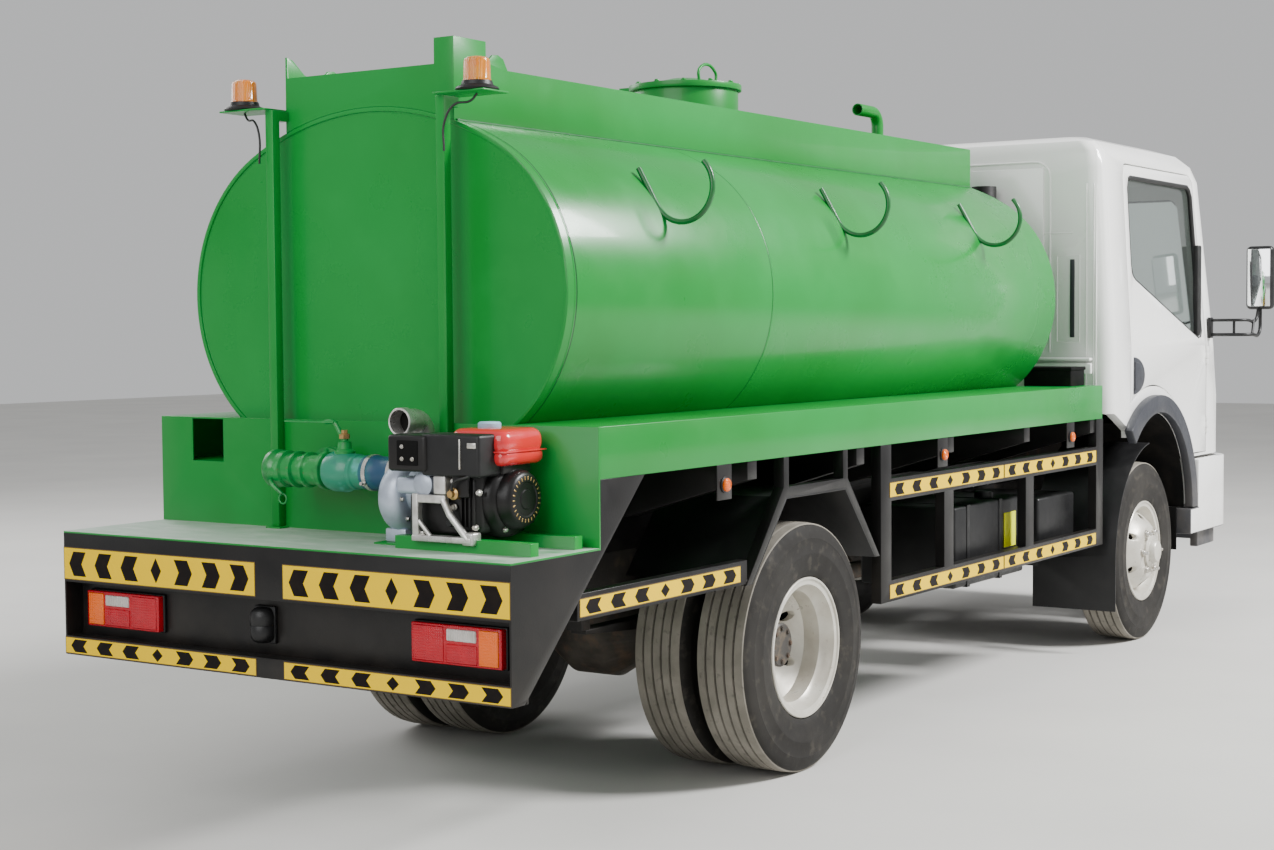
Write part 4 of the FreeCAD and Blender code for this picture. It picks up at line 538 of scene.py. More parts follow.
pale_cap = (
    Finish("pale_blue_cap", (0.36, 0.6, 0.72), 0.4)
    .patches((0.24, 0.42, 0.54), 30, 0.4, 0.7, 0.8).grain(300, 0.0002)
)
window_glass = (
    Finish("window_glass", (0.88, 0.95, 0.92), 0.03, see_through=1)
    .patches((0.82, 0.9, 0.86), 2, 0.4, 0.7, 0.5)
)
mirror_glass = (
    Finish("mirror_glass", (0.85, 0.87, 0.88), 0.04, metal=1).patches((0.75, 0.78, 0.8), 6, 0.4, 0.7, 0.5)
)
yellow_label = (
    Finish("yellow_label", (0.85, 0.88, 0), 0.55, shine=0.2).patches((0.74, 0.74, 0), 30, 0.4, 0.7, 0.8)
)


# Placing
def paint(shape, finish):
    shape.data.materials.clear()
    shape.data.materials.append(finish.material)
    return shape


def paint_part(shape, finish, test):
    """Give a second finish to the faces whose middle and normal pass a test."""
    shape.data.materials.append(finish.material)
    for face in shape.data.polygons:
        if test(face.center, face.normal):
            face.material_index = 1
    return shape


def place(shape, body, slot, finish=None):
    """Let a piece ride on a body, and paint it where it isn't painted yet."""
    if finish:
        paint(shape, finish)
    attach(shape, body)
    return shape


def assembled(name, *groups):
    """Join groups of shapes, each group painted with the finish that leads it."""
    return join(name, [paint(shape, finish) for finish, *shapes in groups for shape in shapes])


def both_sides(shape, body, slot, finish=None):
    """Place a piece on one side and its twin on the other, each on its own side's body."""
    twin = place(other_side(shape), body.replace("left", "right"), slot, finish)
    place(shape, body, slot, finish)
    return twin


# Main places. Those of the axles, the rear and the body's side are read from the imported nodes.
def middle_x(node):
    low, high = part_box(node)
    return (low.x + high.x) / 2


front_axle = middle_x("front_tyre_left")
rear_axle = middle_x("rear_tyre_left")
rear_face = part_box("rear_bumper")[0].x
body_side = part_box("hose_trays")[1].y
axle_height = 0.43
deck_top = 0.903
waist = 1.42
cab_back = 1.421
arch_x, arch_z = 1.99, 0.6
pump_x, pipe_level = -2.914, 1.107


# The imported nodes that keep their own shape, copied with merged seams and rounded edges
KEPT = (
    ("tank_shell", tank_paint, 0.003, "green_paint"),
    ("coaming", green_paint, 0.002, "green_paint"),
    ("tank_fittings", green_paint, 0.0015, "green_paint"),
    ("manhole_lid", green_paint, 0.002, "green_paint"),
    ("hose_trays", green_paint, 0.0015, "green_paint"),
    ("rear_posts", green_paint, 0.002, "green_paint"),
    ("rear_wall", green_paint, 0.0012, "worn_green"),
    ("rear_bumper", black_paint, 0.0015, "black_steel"),
    ("tank_bearers", black_paint, 0.0015, "black_steel"),
    ("chassis_frame", chassis_paint, 0.0015, "black_steel"),
    ("side_guards", black_paint, 0.0015, "black_steel"),
    ("mudguards", black_plastic, 0.0012, "black_plastic"),
    ("side_boxes", black_plastic, 0.012, "black_plastic"),
    ("rear_axle", cast_iron, 0.004, "cast_iron"),
    ("front_axle", cast_iron, 0.003, "cast_iron"),
    ("knuckle_left", cast_iron, 0.002, "cast_iron"),
    ("knuckle_right", cast_iron, 0.002, "cast_iron"),
    ("leaf_springs", chassis_paint, 0.002, "cast_iron"),
    ("power_train", cast_iron, 0.01, "cast_iron"),
    ("engine_pipes", chassis_paint, 0.003, "black_steel"),
    ("cab_shell", white_paint, 0.0025, "white_paint"),
    ("door_left", white_paint, 0.002, "white_paint"),
    ("door_right", white_paint, 0.002, "white_paint"),
    ("cab_floor", chassis_paint, 0.003, "black_steel"),
    ("front_bumper", white_paint, 0.006, "white_paint"),
    ("arch_flares", flare_plastic, 0.006, "black_plastic"),
    ("head_lamps", clear_lens, 0.002, "clear_plastic"),
    ("cab_glass", window_glass, 0, "glass"),
    ("door_glass_left", window_glass, 0, "glass"),
    ("door_glass_right", window_glass, 0, "glass"),
)
BODY_OF = {node: body for body, nodes in frame["record"]["behaviour"]["bodies"].items() for node in nodes}
SHARP = 32


def dressed(node, finish, edge, slot):
    """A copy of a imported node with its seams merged, its flat faces joined and its edges rounded."""
    deselect()
    source = frame["nodes"][node]
    copy = source.copy()
    copy.data = source.data.copy()
    copy.parent = None
    for key in list(copy.keys()):
        del copy[key]
    bpy.context.scene.collection.objects.link(copy)
    copy.name = node + "_finished"
    take(copy)
    edit()
    bpy.ops.mesh.remove_doubles(threshold=WELD)
    bpy.ops.mesh.dissolve_limited(angle_limit=math.radians(0.6))
    done()
    if edge:
        round_edges(copy, edge, 2, SHARP)
    place(smooth(copy, SHARP), BODY_OF[node], slot, finish)
    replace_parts(copy, node)
    return copy


def on_deck(middle, normal):
    return normal.z > 0.9 and middle.z < deck_top + 0.004


# Faces of the white cab and doors that face into the front wheel arch, which get painted shade.
def in_arch_shade(middle, normal):
    away = Vector((middle.x - arch_x, 0, middle.z - arch_z))
    return away.length < 0.56 and normal.dot(away) < 0 and abs(normal.y) < 0.7


def on_bumper_foot(middle, normal):
    return middle.z < 0.47 or middle.x < front_axle + 0.779 and middle.z < 0.6


def kept_nodes():
    copies = {node: dressed(node, finish, edge, slot) for node, finish, edge, slot in KEPT}
    paint_part(copies["rear_wall"], deck_paint, on_deck)
    paint_part(copies["front_bumper"], flare_plastic, on_bumper_foot)
    # The white faces inside the wheel arches are painted black as painted shade.
    for node in ("cab_shell", "door_left", "door_right"):
        paint_part(copies[node], liner_and_shade_plastic, in_arch_shade)


# Wheels
def tread_outline():
    """A tyre's section, from bead to bead, with four grooves in its tread."""
    side = [(0.082, 0.2425), (0.093, 0.246), (0.0985, 0.256), (0.1005, 0.268), (0.1045, 0.29),
            (0.1072, 0.318), (0.1085, 0.3225), (0.1085, 0.3265), (0.1072, 0.331), (0.1062, 0.352),
            (0.1035, 0.372), (0.1045, 0.376), (0.1035, 0.38), (0.1005, 0.394), (0.0965, 0.408),
            (0.0915, 0.4175), (0.087, 0.4225), (0.085, 0.4272)]
    cut = [(0.0045, 0.43), (0.003, 0.42), (-0.003, 0.42), (-0.0045, 0.43)]
    grooves = (0.0525, 0.0175, -0.0175, -0.0525)
    tread = [(groove + along, radius) for groove in grooves for along, radius in cut]
    far = [(-along, radius) for along, radius in reversed(side)]
    return side + tread + far + [(-0.06, 0.2425), (0.06, 0.2425), side[0]]


def tyre(axle, middle):
    shape = turned("tyre", "y", (axle, middle, axle_height), tread_outline(), 120, 28)

    def on_tread(spot, normal):
        out = math.hypot(spot.x - axle, spot.z - axle_height)
        return out > 0.4215 and abs(spot.y - middle) < 0.0868

    return paint_part(paint(shape, tyre_rubber), tread_rubber, on_tread)


def barrel(axle, middle):
    """The rim's barrel with its two lips, bead seats and well."""
    half = [(0.036, 0.2), (0.052, 0.216), (0.082, 0.222), (0.086, 0.2415), (0.093, 0.2425),
            (0.0965, 0.2395), (0.0955, 0.2345), (0.0905, 0.233), (0.088, 0.216), (0.056, 0.209),
            (0.041, 0.193)]
    far = [(-along, radius) for along, radius in reversed(half)]
    return turned("barrel", "y", (axle, middle, axle_height), half + far + half[:1], 96, 40)


def wheel_disc(axle, face, side, back, spread, size):
    """A pressed disc with six round hand holes. Its back is the side's own line, its front is common."""
    front = [(0, 0.075), (0, 0.118), (0.003, 0.126), (0.026, 0.15), (0.052, 0.172), (0.074, 0.188),
             (0.094, 0.195), (0.104, 0.195)]
    outline = [(depth * side, radius) for depth, radius in front + back + front[:1]]
    disc = turned("disc", "y", (axle, face, axle_height), outline, 96, 30)
    for i in range(6):
        angle = FULL_TURN * (i + 0.5) / 6
        across, up = spread * math.cos(angle), spread * math.sin(angle)
        deselect()
        bpy.ops.mesh.primitive_cylinder_add(
            vertices=28, radius=size, depth=0.12, rotation=LAID["y"],
            location=(axle + across, face + 0.045 * side, axle_height + up),
        )
        hole = settle("hole")
        apply_modifier(disc, "BOOLEAN", operation="DIFFERENCE", object=hole, solver="EXACT")
        bpy.data.objects.remove(hole)
    return smooth(round_edges(disc, 0.0015, 1, 40), 40)


def nuts(name, axle, face):
    """Six wheel nuts with their stud ends."""
    spot = (axle + 0.101, face, axle_height)
    nut = bolt(name, "y", spot, 0.016, 0.016)
    stud = turned("stud", "y", spot, [(0, 0.008), (0.03, 0.008), (0.033, 0.006)], 16)
    return ring_of(join(name, [nut, stud]), 6, "y", (axle, face, axle_height))


def mounted(end, body, *pieces):
    """Place a left wheel's pieces and their twins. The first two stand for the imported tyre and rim."""
    nodes = (f"{end}_tyre_", f"{end}_rim_")
    for i, (left, slot, finish) in enumerate(pieces):
        if i < len(nodes):
            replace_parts(left, nodes[i] + "left")
        twin = both_sides(left, body, slot, finish)
        if i < len(nodes):
            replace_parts(twin, nodes[i] + "right")


def front_wheel():
    middle = 0.7685
    face = middle + 0.1225
    rubber = tyre(front_axle, middle)
    rubber.name = "front_tyre_left_tread"
    back = [(0.084, 0.178), (0.062, 0.162), (0.036, 0.14), (0.013, 0.116), (0.012, 0.075)]
    disc = wheel_disc(front_axle, face, -1, back, 0.16, 0.017)
    hub = turned("hub", "y", (front_axle, face, axle_height), [
        (0.03, 0.041), (-0.012, 0.042), (-0.012, 0.079), (0.01, 0.079), (0.014, 0.074),
        (0.018, 0.058), (0.04, 0.052), (0.044, 0.048), (0.046, 0.03)], 48, 30)
    steel = join("front_rim_left_wheel", [barrel(front_axle, middle), disc, hub])
    mounted(
        "front", "front_left_wheel",
        (rubber, "tyre", None),
        (steel, "silver_steel", wheel_paint),
        (nuts("front_nuts_left", front_axle, face), "silver_steel", bright_zinc),
    )


def rear_wheel():
    """The twin rear wheel: two tyres, two rims whose discs meet, the hub and its cap."""
    outer, inner = 0.7495, 0.5045
    face = (outer + inner) / 2
    rubber = join("rear_tyre_left_tread", [tyre(rear_axle, outer), tyre(rear_axle, inner)])
    back = [(0.088, 0.18), (0.066, 0.163), (0.04, 0.141), (0.012, 0.116), (0.01, 0.075)]
    steel = [barrel(rear_axle, outer), barrel(rear_axle, inner)]
    for side in (1, -1):
        steel.append(wheel_disc(rear_axle, face, side, back, 0.158, 0.019))
    hub = turned("hub", "y", (rear_axle, face, axle_height), [
        (0.108, 0.042), (-0.012, 0.042), (-0.012, 0.079), (0.012, 0.079), (0.014, 0.078),
        (0.102, 0.07), (0.106, 0.076), (0.116, 0.076), (0.12, 0.07)], 48, 30)
    cap_bolt = bolt("hub_bolts_left", "y", (rear_axle + 0.058, face + 0.12, axle_height), 0.008, 0.006)
    steel = assembled("rear_rim_left_wheels", (wheel_paint, *steel), (hub_paint, hub))
    mounted(
        "rear", "rear_left_wheels",
        (rubber, "tyre", None),
        (steel, "silver_steel", None),
        (nuts("rear_nuts_left", rear_axle, face + 0.012), "silver_steel", bright_zinc),
        (ring_of(cap_bolt, 8, "y", (rear_axle, face, axle_height)), "cast_iron", cast_iron),
    )


# Marker strips
def mark(middle, length, height, point):
    """One arrow mark that points along x, or a diamond where point is 0, drawn in the plane of x and z."""
    deselect()
    bpy.ops.mesh.primitive_plane_add(size=1, location=middle, rotation=LAID["y"])
    bpy.context.object.scale = (length, height, 1)
    shape = settle("mark")
    edit()
    bpy.ops.mesh.subdivide(number_cuts=1)
    bpy.ops.mesh.select_mode(type="VERT")
    bpy.ops.mesh.select_all(action="DESELECT")
    done()
    for corner in shape.data.vertices:
        level, across = abs(corner.co.z - middle[2]), abs(corner.co.x - middle[0])
        corner.select = level < height / 8 if point else across > length / 8
    bpy.ops.object.mode_set(mode="EDIT")
    if point:
        bpy.ops.transform.translate(value=(point, 0, 0))
    else:
        bpy.ops.transform.resize(value=(1, 1, SPECK), center_override=middle)
    bpy.ops.mesh.select_all(action="SELECT")
    bpy.ops.mesh.extrude_region()
    bpy.ops.transform.translate(value=(0, -0.0006, 0))
    done()
    return outward(shape)


def marker_strip(name, length, height, spot, turn=0):
    """A strip with three arrows each way and a diamond between, drawn at the origin, then put in place."""
    border, half, high = 0.003, length / 2, height / 2
    edge = slab("border", (-half, -0.0012, -high), (half, 0, high), 0.0004, 1)
    wide, tall = half - border, high - border
    sheet = slab("sheet", (-wide, -0.0018, -tall), (wide, -0.0008, tall), 0.0003, 1)
    pitch = (length - 4 * border) / 7
    arrow = min(pitch * 0.48, height * 1.1)
    point = min(pitch * 0.17, height * 0.32)
    marks = []
    for i in range(-3, 4):
        side = (i > 0) - (i < 0)
        long = arrow if side else arrow * 0.8
        marks.append(mark((pitch * i - point * side / 2, -0.0017, 0), long, height * 0.74, point * side))
    strip = take(assembled(name, (border_print, edge), (yellow_sheet, sheet), (black_print, *marks)))
    strip.rotation_euler = (0, 0, turn)
    strip.location = spot
    return settle(name)


def marker_strips():
    gap = 0.054
    reach = body_side - gap
    for row, low, high in (("upper", 0.749, 0.853), ("lower", 0.513, 0.567)):
        for side, sign in SIDES:
            spot = (rear_face, (gap + reach / 2) * sign, (low + high) / 2)
            strip = marker_strip(f"rear_strip_{row}_{side}", reach, high - low, spot, -math.pi / 2)
            place(strip, "chassis", "black_steel")
    first, last = rear_axle + 0.556, rear_axle + 2.677
    half = (last - first) / 2
    for row, low, high in (("upper", 0.904, 0.961), ("lower", 0.531, 0.586)):
        for part in (0, 1):
            spot = (first + half * (part + 0.5), -body_side, (low + high) / 2)
            strip = marker_strip(f"guard_strip_{row}_{part}_right", half - 0.006, high - low, spot)
            both_sides(strip, "chassis", "black_steel")
    spot = (rear_axle - 0.96, -body_side + 0.006, 0.741)
    both_sides(marker_strip("quarter_strip_right", 0.902, 0.056, spot), "chassis", "black_steel")


# Lamps
def lamps():
    seat = rear_face + 0.07
    tail = []
    for inner, outer, low, high, depth, finish in (
        (0.5, 0.83, 0.598, 0.718, 0.012, black_plastic),
        (0.505, 0.825, 0.602, 0.714, 0.032, red_lens),
        (0.748, 0.815, 0.608, 0.708, 0.037, amber_lens),
        (0.634, 0.738, 0.67, 0.704, 0.037, clear_lens),
        (0.632, 0.74, 0.608, 0.662, 0.036, red_lens),
        (0.513, 0.622, 0.608, 0.708, 0.036, red_lens),
    ):
        lens = slab("tail_lamp", (seat - depth, inner, low), (seat, outer, high), 0.004, 3)
        tail.append(paint(lens, finish))
    both_sides(join("tail_lamp_left", tail), "chassis", "lamp_plastic")
    shade = turned("shade", "z", (seat - 0.018, 0.076, 0.605), [
        (0, 0.018), (0.004, 0.028), (0.013, 0.036), (0.027, 0.039), (0.05, 0.039), (0.053, 0.037),
        (0.056, 0.039), (0.079, 0.039), (0.093, 0.036), (0.102, 0.028), (0.106, 0.018)], 48, 60)
    foot = slab("lamp_foot", (seat - 0.012, 0.034, 0.602), (seat, 0.118, 0.714), 0.004, 2)
    number_lamp = join("number_lamp", [shade, foot])
    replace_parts(place(number_lamp, "chassis", "lamp_plastic", black_plastic), "lamps")
    markers = []
    for x in (rear_axle - 0.615, rear_axle + 1.023, front_axle - 1.028):
        spot = (x, body_side, 1.036)
        base = turned("base", "y", spot, [(0, 0.026), (0.004, 0.026), (0.006, 0.022)], 36)
        lens = turned("lens", "y", spot, [
            (0.005, 0.021), (0.012, 0.021), (0.016, 0.017), (0.017, 0.012), (0.015, 0.01),
            (0.017, 0.006)], 36)
        markers += [paint(base, black_plastic), paint(lens, amber_lens)]
    both_sides(join("marker_lamps_left", markers), "chassis", "lamp_plastic")
    beacon_x, beacon_y = -2.765, 0.47
    spot = (beacon_x, beacon_y, 2.234)
    base = turned("beacon_base", "z", spot, [
        (0, 0.062), (0.004, 0.066), (0.01, 0.062), (0.016, 0.048), (0.028, 0.045)], 48)
    dome = turned("beacon_dome", "z", spot, [
        (0.022, 0.043), (0.028, 0.0435), (0.034, 0.041), (0.084, 0.0395), (0.092, 0.037),
        (0.097, 0.03), (0.1, 0.016), (0.101, 0)], 48)
    beacon = assembled("beacon_left", (black_plastic, base), (beacon_lens, dome))
    both_sides(beacon, "chassis", "lamp_plastic")
    wires = []
    for side, sign in SIDES:
        wires.append(bent_bar("beacon_wire", [
            (beacon_x, beacon_y * sign, 2.226), (-2.772, 0.45 * sign, 2.205), (-2.79, 0.405 * sign, 2.196),
            (-2.8, 0.375 * sign, 2.15), (-2.803, 0.373 * sign, 2.06)], 0.0035))
    place(join("beacon_wires", wires), "chassis", "black_plastic", rubber_trim)


def hose_hooks():
    hooks = []
    for x in (-2.1, -0.865, 0.37):
        points = [(x, 0.6, 2.041), (x, 0.64, 1.972)]
        for step in range(14):
            angle = math.radians(210 + 15 * step)
            points.append((x, 0.765 + 0.11 * math.cos(angle), 1.975 + 0.11 * math.sin(angle)))
        hooks.append(bent_bar("hook", points, 0.009, around=4, smoothness=3))
    left = join("hose_hooks_left", hooks)
    both_sides(left, "chassis", "green_paint", hook_and_shade_paint)
    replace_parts(left, "hose_hooks")


# Pump set
def suction_line():
    """The suction line over the deck, with its valve, lever, hose and tee."""
    line = Vector((pump_x, 0, pipe_level))
    stem_y = -0.066
    pipe = turned("suction_line", "y", line, [
        (0.15, 0.038), (0.225, 0.04), (0.225, 0.056), (0.219, 0.06), (0.206, 0.06), (0.2, 0.054),
        (0.188, 0.051), (0.182, 0.057), (0.16, 0.057), (0.155, 0.049), (0.13, 0.047), (0.126, 0.056),
        (0.116, 0.056), (0.112, 0.047), (0.084, 0.047), (0.08, 0.054), (0.07, 0.054), (0.066, 0.046),
        (0.016, 0.046), (0.012, 0.058), (-0.004, 0.058), (-0.008, 0.05), (-0.02, 0.05)], 56)
    valve = turned("valve_body", "y", line, [
        (-0.016, 0.056), (-0.034, 0.062), (-0.08, 0.062), (-0.098, 0.055), (-0.106, 0.05),
        (-0.11, 0.054), (-0.122, 0.054), (-0.126, 0.05), (-0.176, 0.05)], 56)
    hose = turned("pump_hose", "y", line, [
        (-0.16, 0.052), (-0.168, 0.0535), (-0.2, 0.0525), (-0.206, 0.05), (-0.25, 0.049),
        (-0.256, 0.051), (-0.29, 0.053), (-0.304, 0.056), (-0.308, 0.056)], 56)
    clamps = []
    for y in (-0.182, -0.276):
        clamps.append(turned("clamp", "y", line + Vector((0, y, 0)), [
            (-0.007, 0.052), (-0.007, 0.0552), (0.007, 0.0552), (0.007, 0.052), (-0.007, 0.052)], 48))
        clamps.append(bolt("clamp_screw", "x", (pump_x - 0.048, y, 1.078), 0.006, -0.016))
    tee = turned("tee", "x", (pump_x, 0.06, pipe_level), [
        (0, 0.046), (0.056, 0.046), (0.058, 0.066), (0.076, 0.066), (0.078, 0.062), (0.082, 0.066),
        (0.1, 0.066), (0.102, 0.046), (0.158, 0.046)], 48)
    flange_x = pump_x + 0.058
    flange_bolt = bolt("flange_bolts", "x", (flange_x, 0.06, pipe_level + 0.056), 0.007, -0.006)
    flange_bolts = ring_of(flange_bolt, 6, "x", (flange_x, 0.06, pipe_level))
    stem = turned("valve_stem", "z", (pump_x, stem_y, 1.15), [
        (0, 0.032), (0.018, 0.032), (0.026, 0.022), (0.046, 0.02), (0.05, 0.011), (0.066, 0.011)], 28)
    nut = turned("stem_nut", "z", (pump_x, stem_y, 1.206), [
        (0, 0.017), (0.014, 0.017), (0.016, 0.01), (0.026, 0.01)], 6)
    flat = slab("valve_lever", (pump_x - 0.012, -0.03, 1.252), (pump_x + 0.012, 0.17, 1.258), 0.002)
    line_up = [(-0.068, 1.216), (-0.052, 1.22), (-0.038, 1.24), (-0.024, 1.254), (0.01, 1.255)]
    bend = bent_bar("lever_bend", [(pump_x, y, z) for y, z in line_up], 0.0075)
    arms = []
    for angle in (40, 215):
        turn = math.radians(angle)
        out = Vector((math.cos(turn), 0, math.sin(turn)))
        start = line + out * 0.058 + Vector((0, 0.196, 0))
        arms.append(bent_bar("cam_arm", [
            start, start + out * 0.012 + Vector((0, -0.02, -0.006)),
            start + out * 0.01 + Vector((0, -0.055, -0.034))], 0.006))
        ring = start + out * 0.01 + Vector((0, -0.058, -0.048))
        arms.append(hoop("cam_ring", ring, ALONG["x"], 0.015, 0.003, 24))
    whole = assembled(
        "suction_line", (sprayed_fittings, pipe, tee, flange_bolts, stem, flat, bend, *arms),
        (teal_paint, valve), (hose_rubber, hose), (bright_zinc, *clamps), (brass, nut))
    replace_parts(place(whole, "chassis", "green_paint"), "suction_pipe")


def pump_casing():
    """The round casing with its spout, its bracket and its feet."""
    centre = pump_x + 0.01
    spout_y = -0.302
    riser, level = pump_x + 0.085, 1.262
    face = -3.044
    cast = [
        turned("pump_casing", "y", (centre, 0, 1.04), [
            (-0.252, 0.052), (-0.254, 0.07), (-0.259, 0.083), (-0.266, 0.093), (-0.275, 0.101),
            (-0.286, 0.106), (-0.298, 0.109), (-0.312, 0.11), (-0.324, 0.108), (-0.334, 0.104),
            (-0.342, 0.097), (-0.347, 0.088), (-0.35, 0.076)], 80, 60),
        turned("casing_boss", "x", (0, -0.47, 1.092), [
            (-3.046, 0.024), (-3.04, 0.034), (-3.02, 0.037), (-2.99, 0.038), (-2.96, 0.038)], 40),
        turned("casing_hub", "y", (centre, 0, 1.06), [
            (-0.345, 0.07), (-0.38, 0.066), (-0.405, 0.056), (-0.47, 0.052)], 48),
        slab("casing_lug", (-3.03, -0.5, 1.06), (-2.96, -0.36, 1.11), 0.014, 4),
        slab("pump_foot", (centre - 0.059, -0.34, deck_top + 0.006), (centre + 0.059, -0.262, 0.95), 0.006),
    ]
    bare = [
        turned("spout_flange", "z", (riser, spout_y, 0), [
            (1.09, 0.044), (1.15, 0.042), (1.152, 0.054), (1.166, 0.054), (1.168, 0.04),
            (1.215, 0.037)], 40),
        bent_bar("spout", [
            (riser, spout_y, 1.19), (riser, spout_y, 1.225), (riser - 0.012, spout_y, 1.25),
            (riser - 0.034, spout_y, level), (riser - 0.058, spout_y, level)], 0.035, around=8),
        turned("spout_mouth", "x", (riser, spout_y, level), [
            (-0.04, 0.028), (-0.04, 0.0365), (-0.08, 0.0365), (-0.082, 0.042), (-0.11, 0.042),
            (-0.112, 0.04), (-0.111, 0.036), (-0.06, 0.034), (-0.056, 0.028), (-0.04, 0.028)], 48),
        slab("bracket_post", (face - 0.01, -0.462, 0.936), (face + 0.014, -0.44, 1.066), 0.004, 3),
        slab("bracket_rail", (face - 0.014, -0.655, 0.93), (face + 0.02, -0.44, 0.948), 0.004, 3),
        slab("bracket_head", (face - 0.008, -0.56, 1.04), (face + 0.014, -0.44, 1.064), 0.004, 3),
        bent_bar("bracket_brace", [
            (face, -0.548, 1.052), (face - 0.004, -0.575, 1.01), (face - 0.004, -0.64, 0.94)],
            0.011, straight=True),
        bent_bar("bracket_web", [(face, -0.456, 0.99), (face, -0.5, 0.945)], 0.007, straight=True),
        slab("bracket_toe", (face - 0.012, -0.662, 0.925), (face + 0.03, -0.62, 0.962), 0.006, 3),
        *[bolt("bracket_bolt", "z", (face + 0.004, y, 0.948), 0.009, 0.01) for y in (-0.47, -0.636)],
    ]
    # A black disc inside the spout's mouth: painted shade inside the pipe.
    dark = turned("spout_inside", "x", (riser, spout_y, level), [
        (-0.066, 0.0338), (-0.058, 0.0338)], 40)
    casing_bolt = bolt("casing_bolts", "y", (centre + 0.084, -0.348, 1.04), 0.006, -0.008)
    pump = assembled(
        "pump_casing_cast", (cast_aluminium, *cast), (bare_aluminium, *bare), (liner_and_shade_plastic, dark),
        (bright_zinc, ring_of(casing_bolt, 8, "y", (centre, -0.348, 1.04))))
    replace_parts(place(pump, "chassis", "cast_aluminium"), "pump_casing")


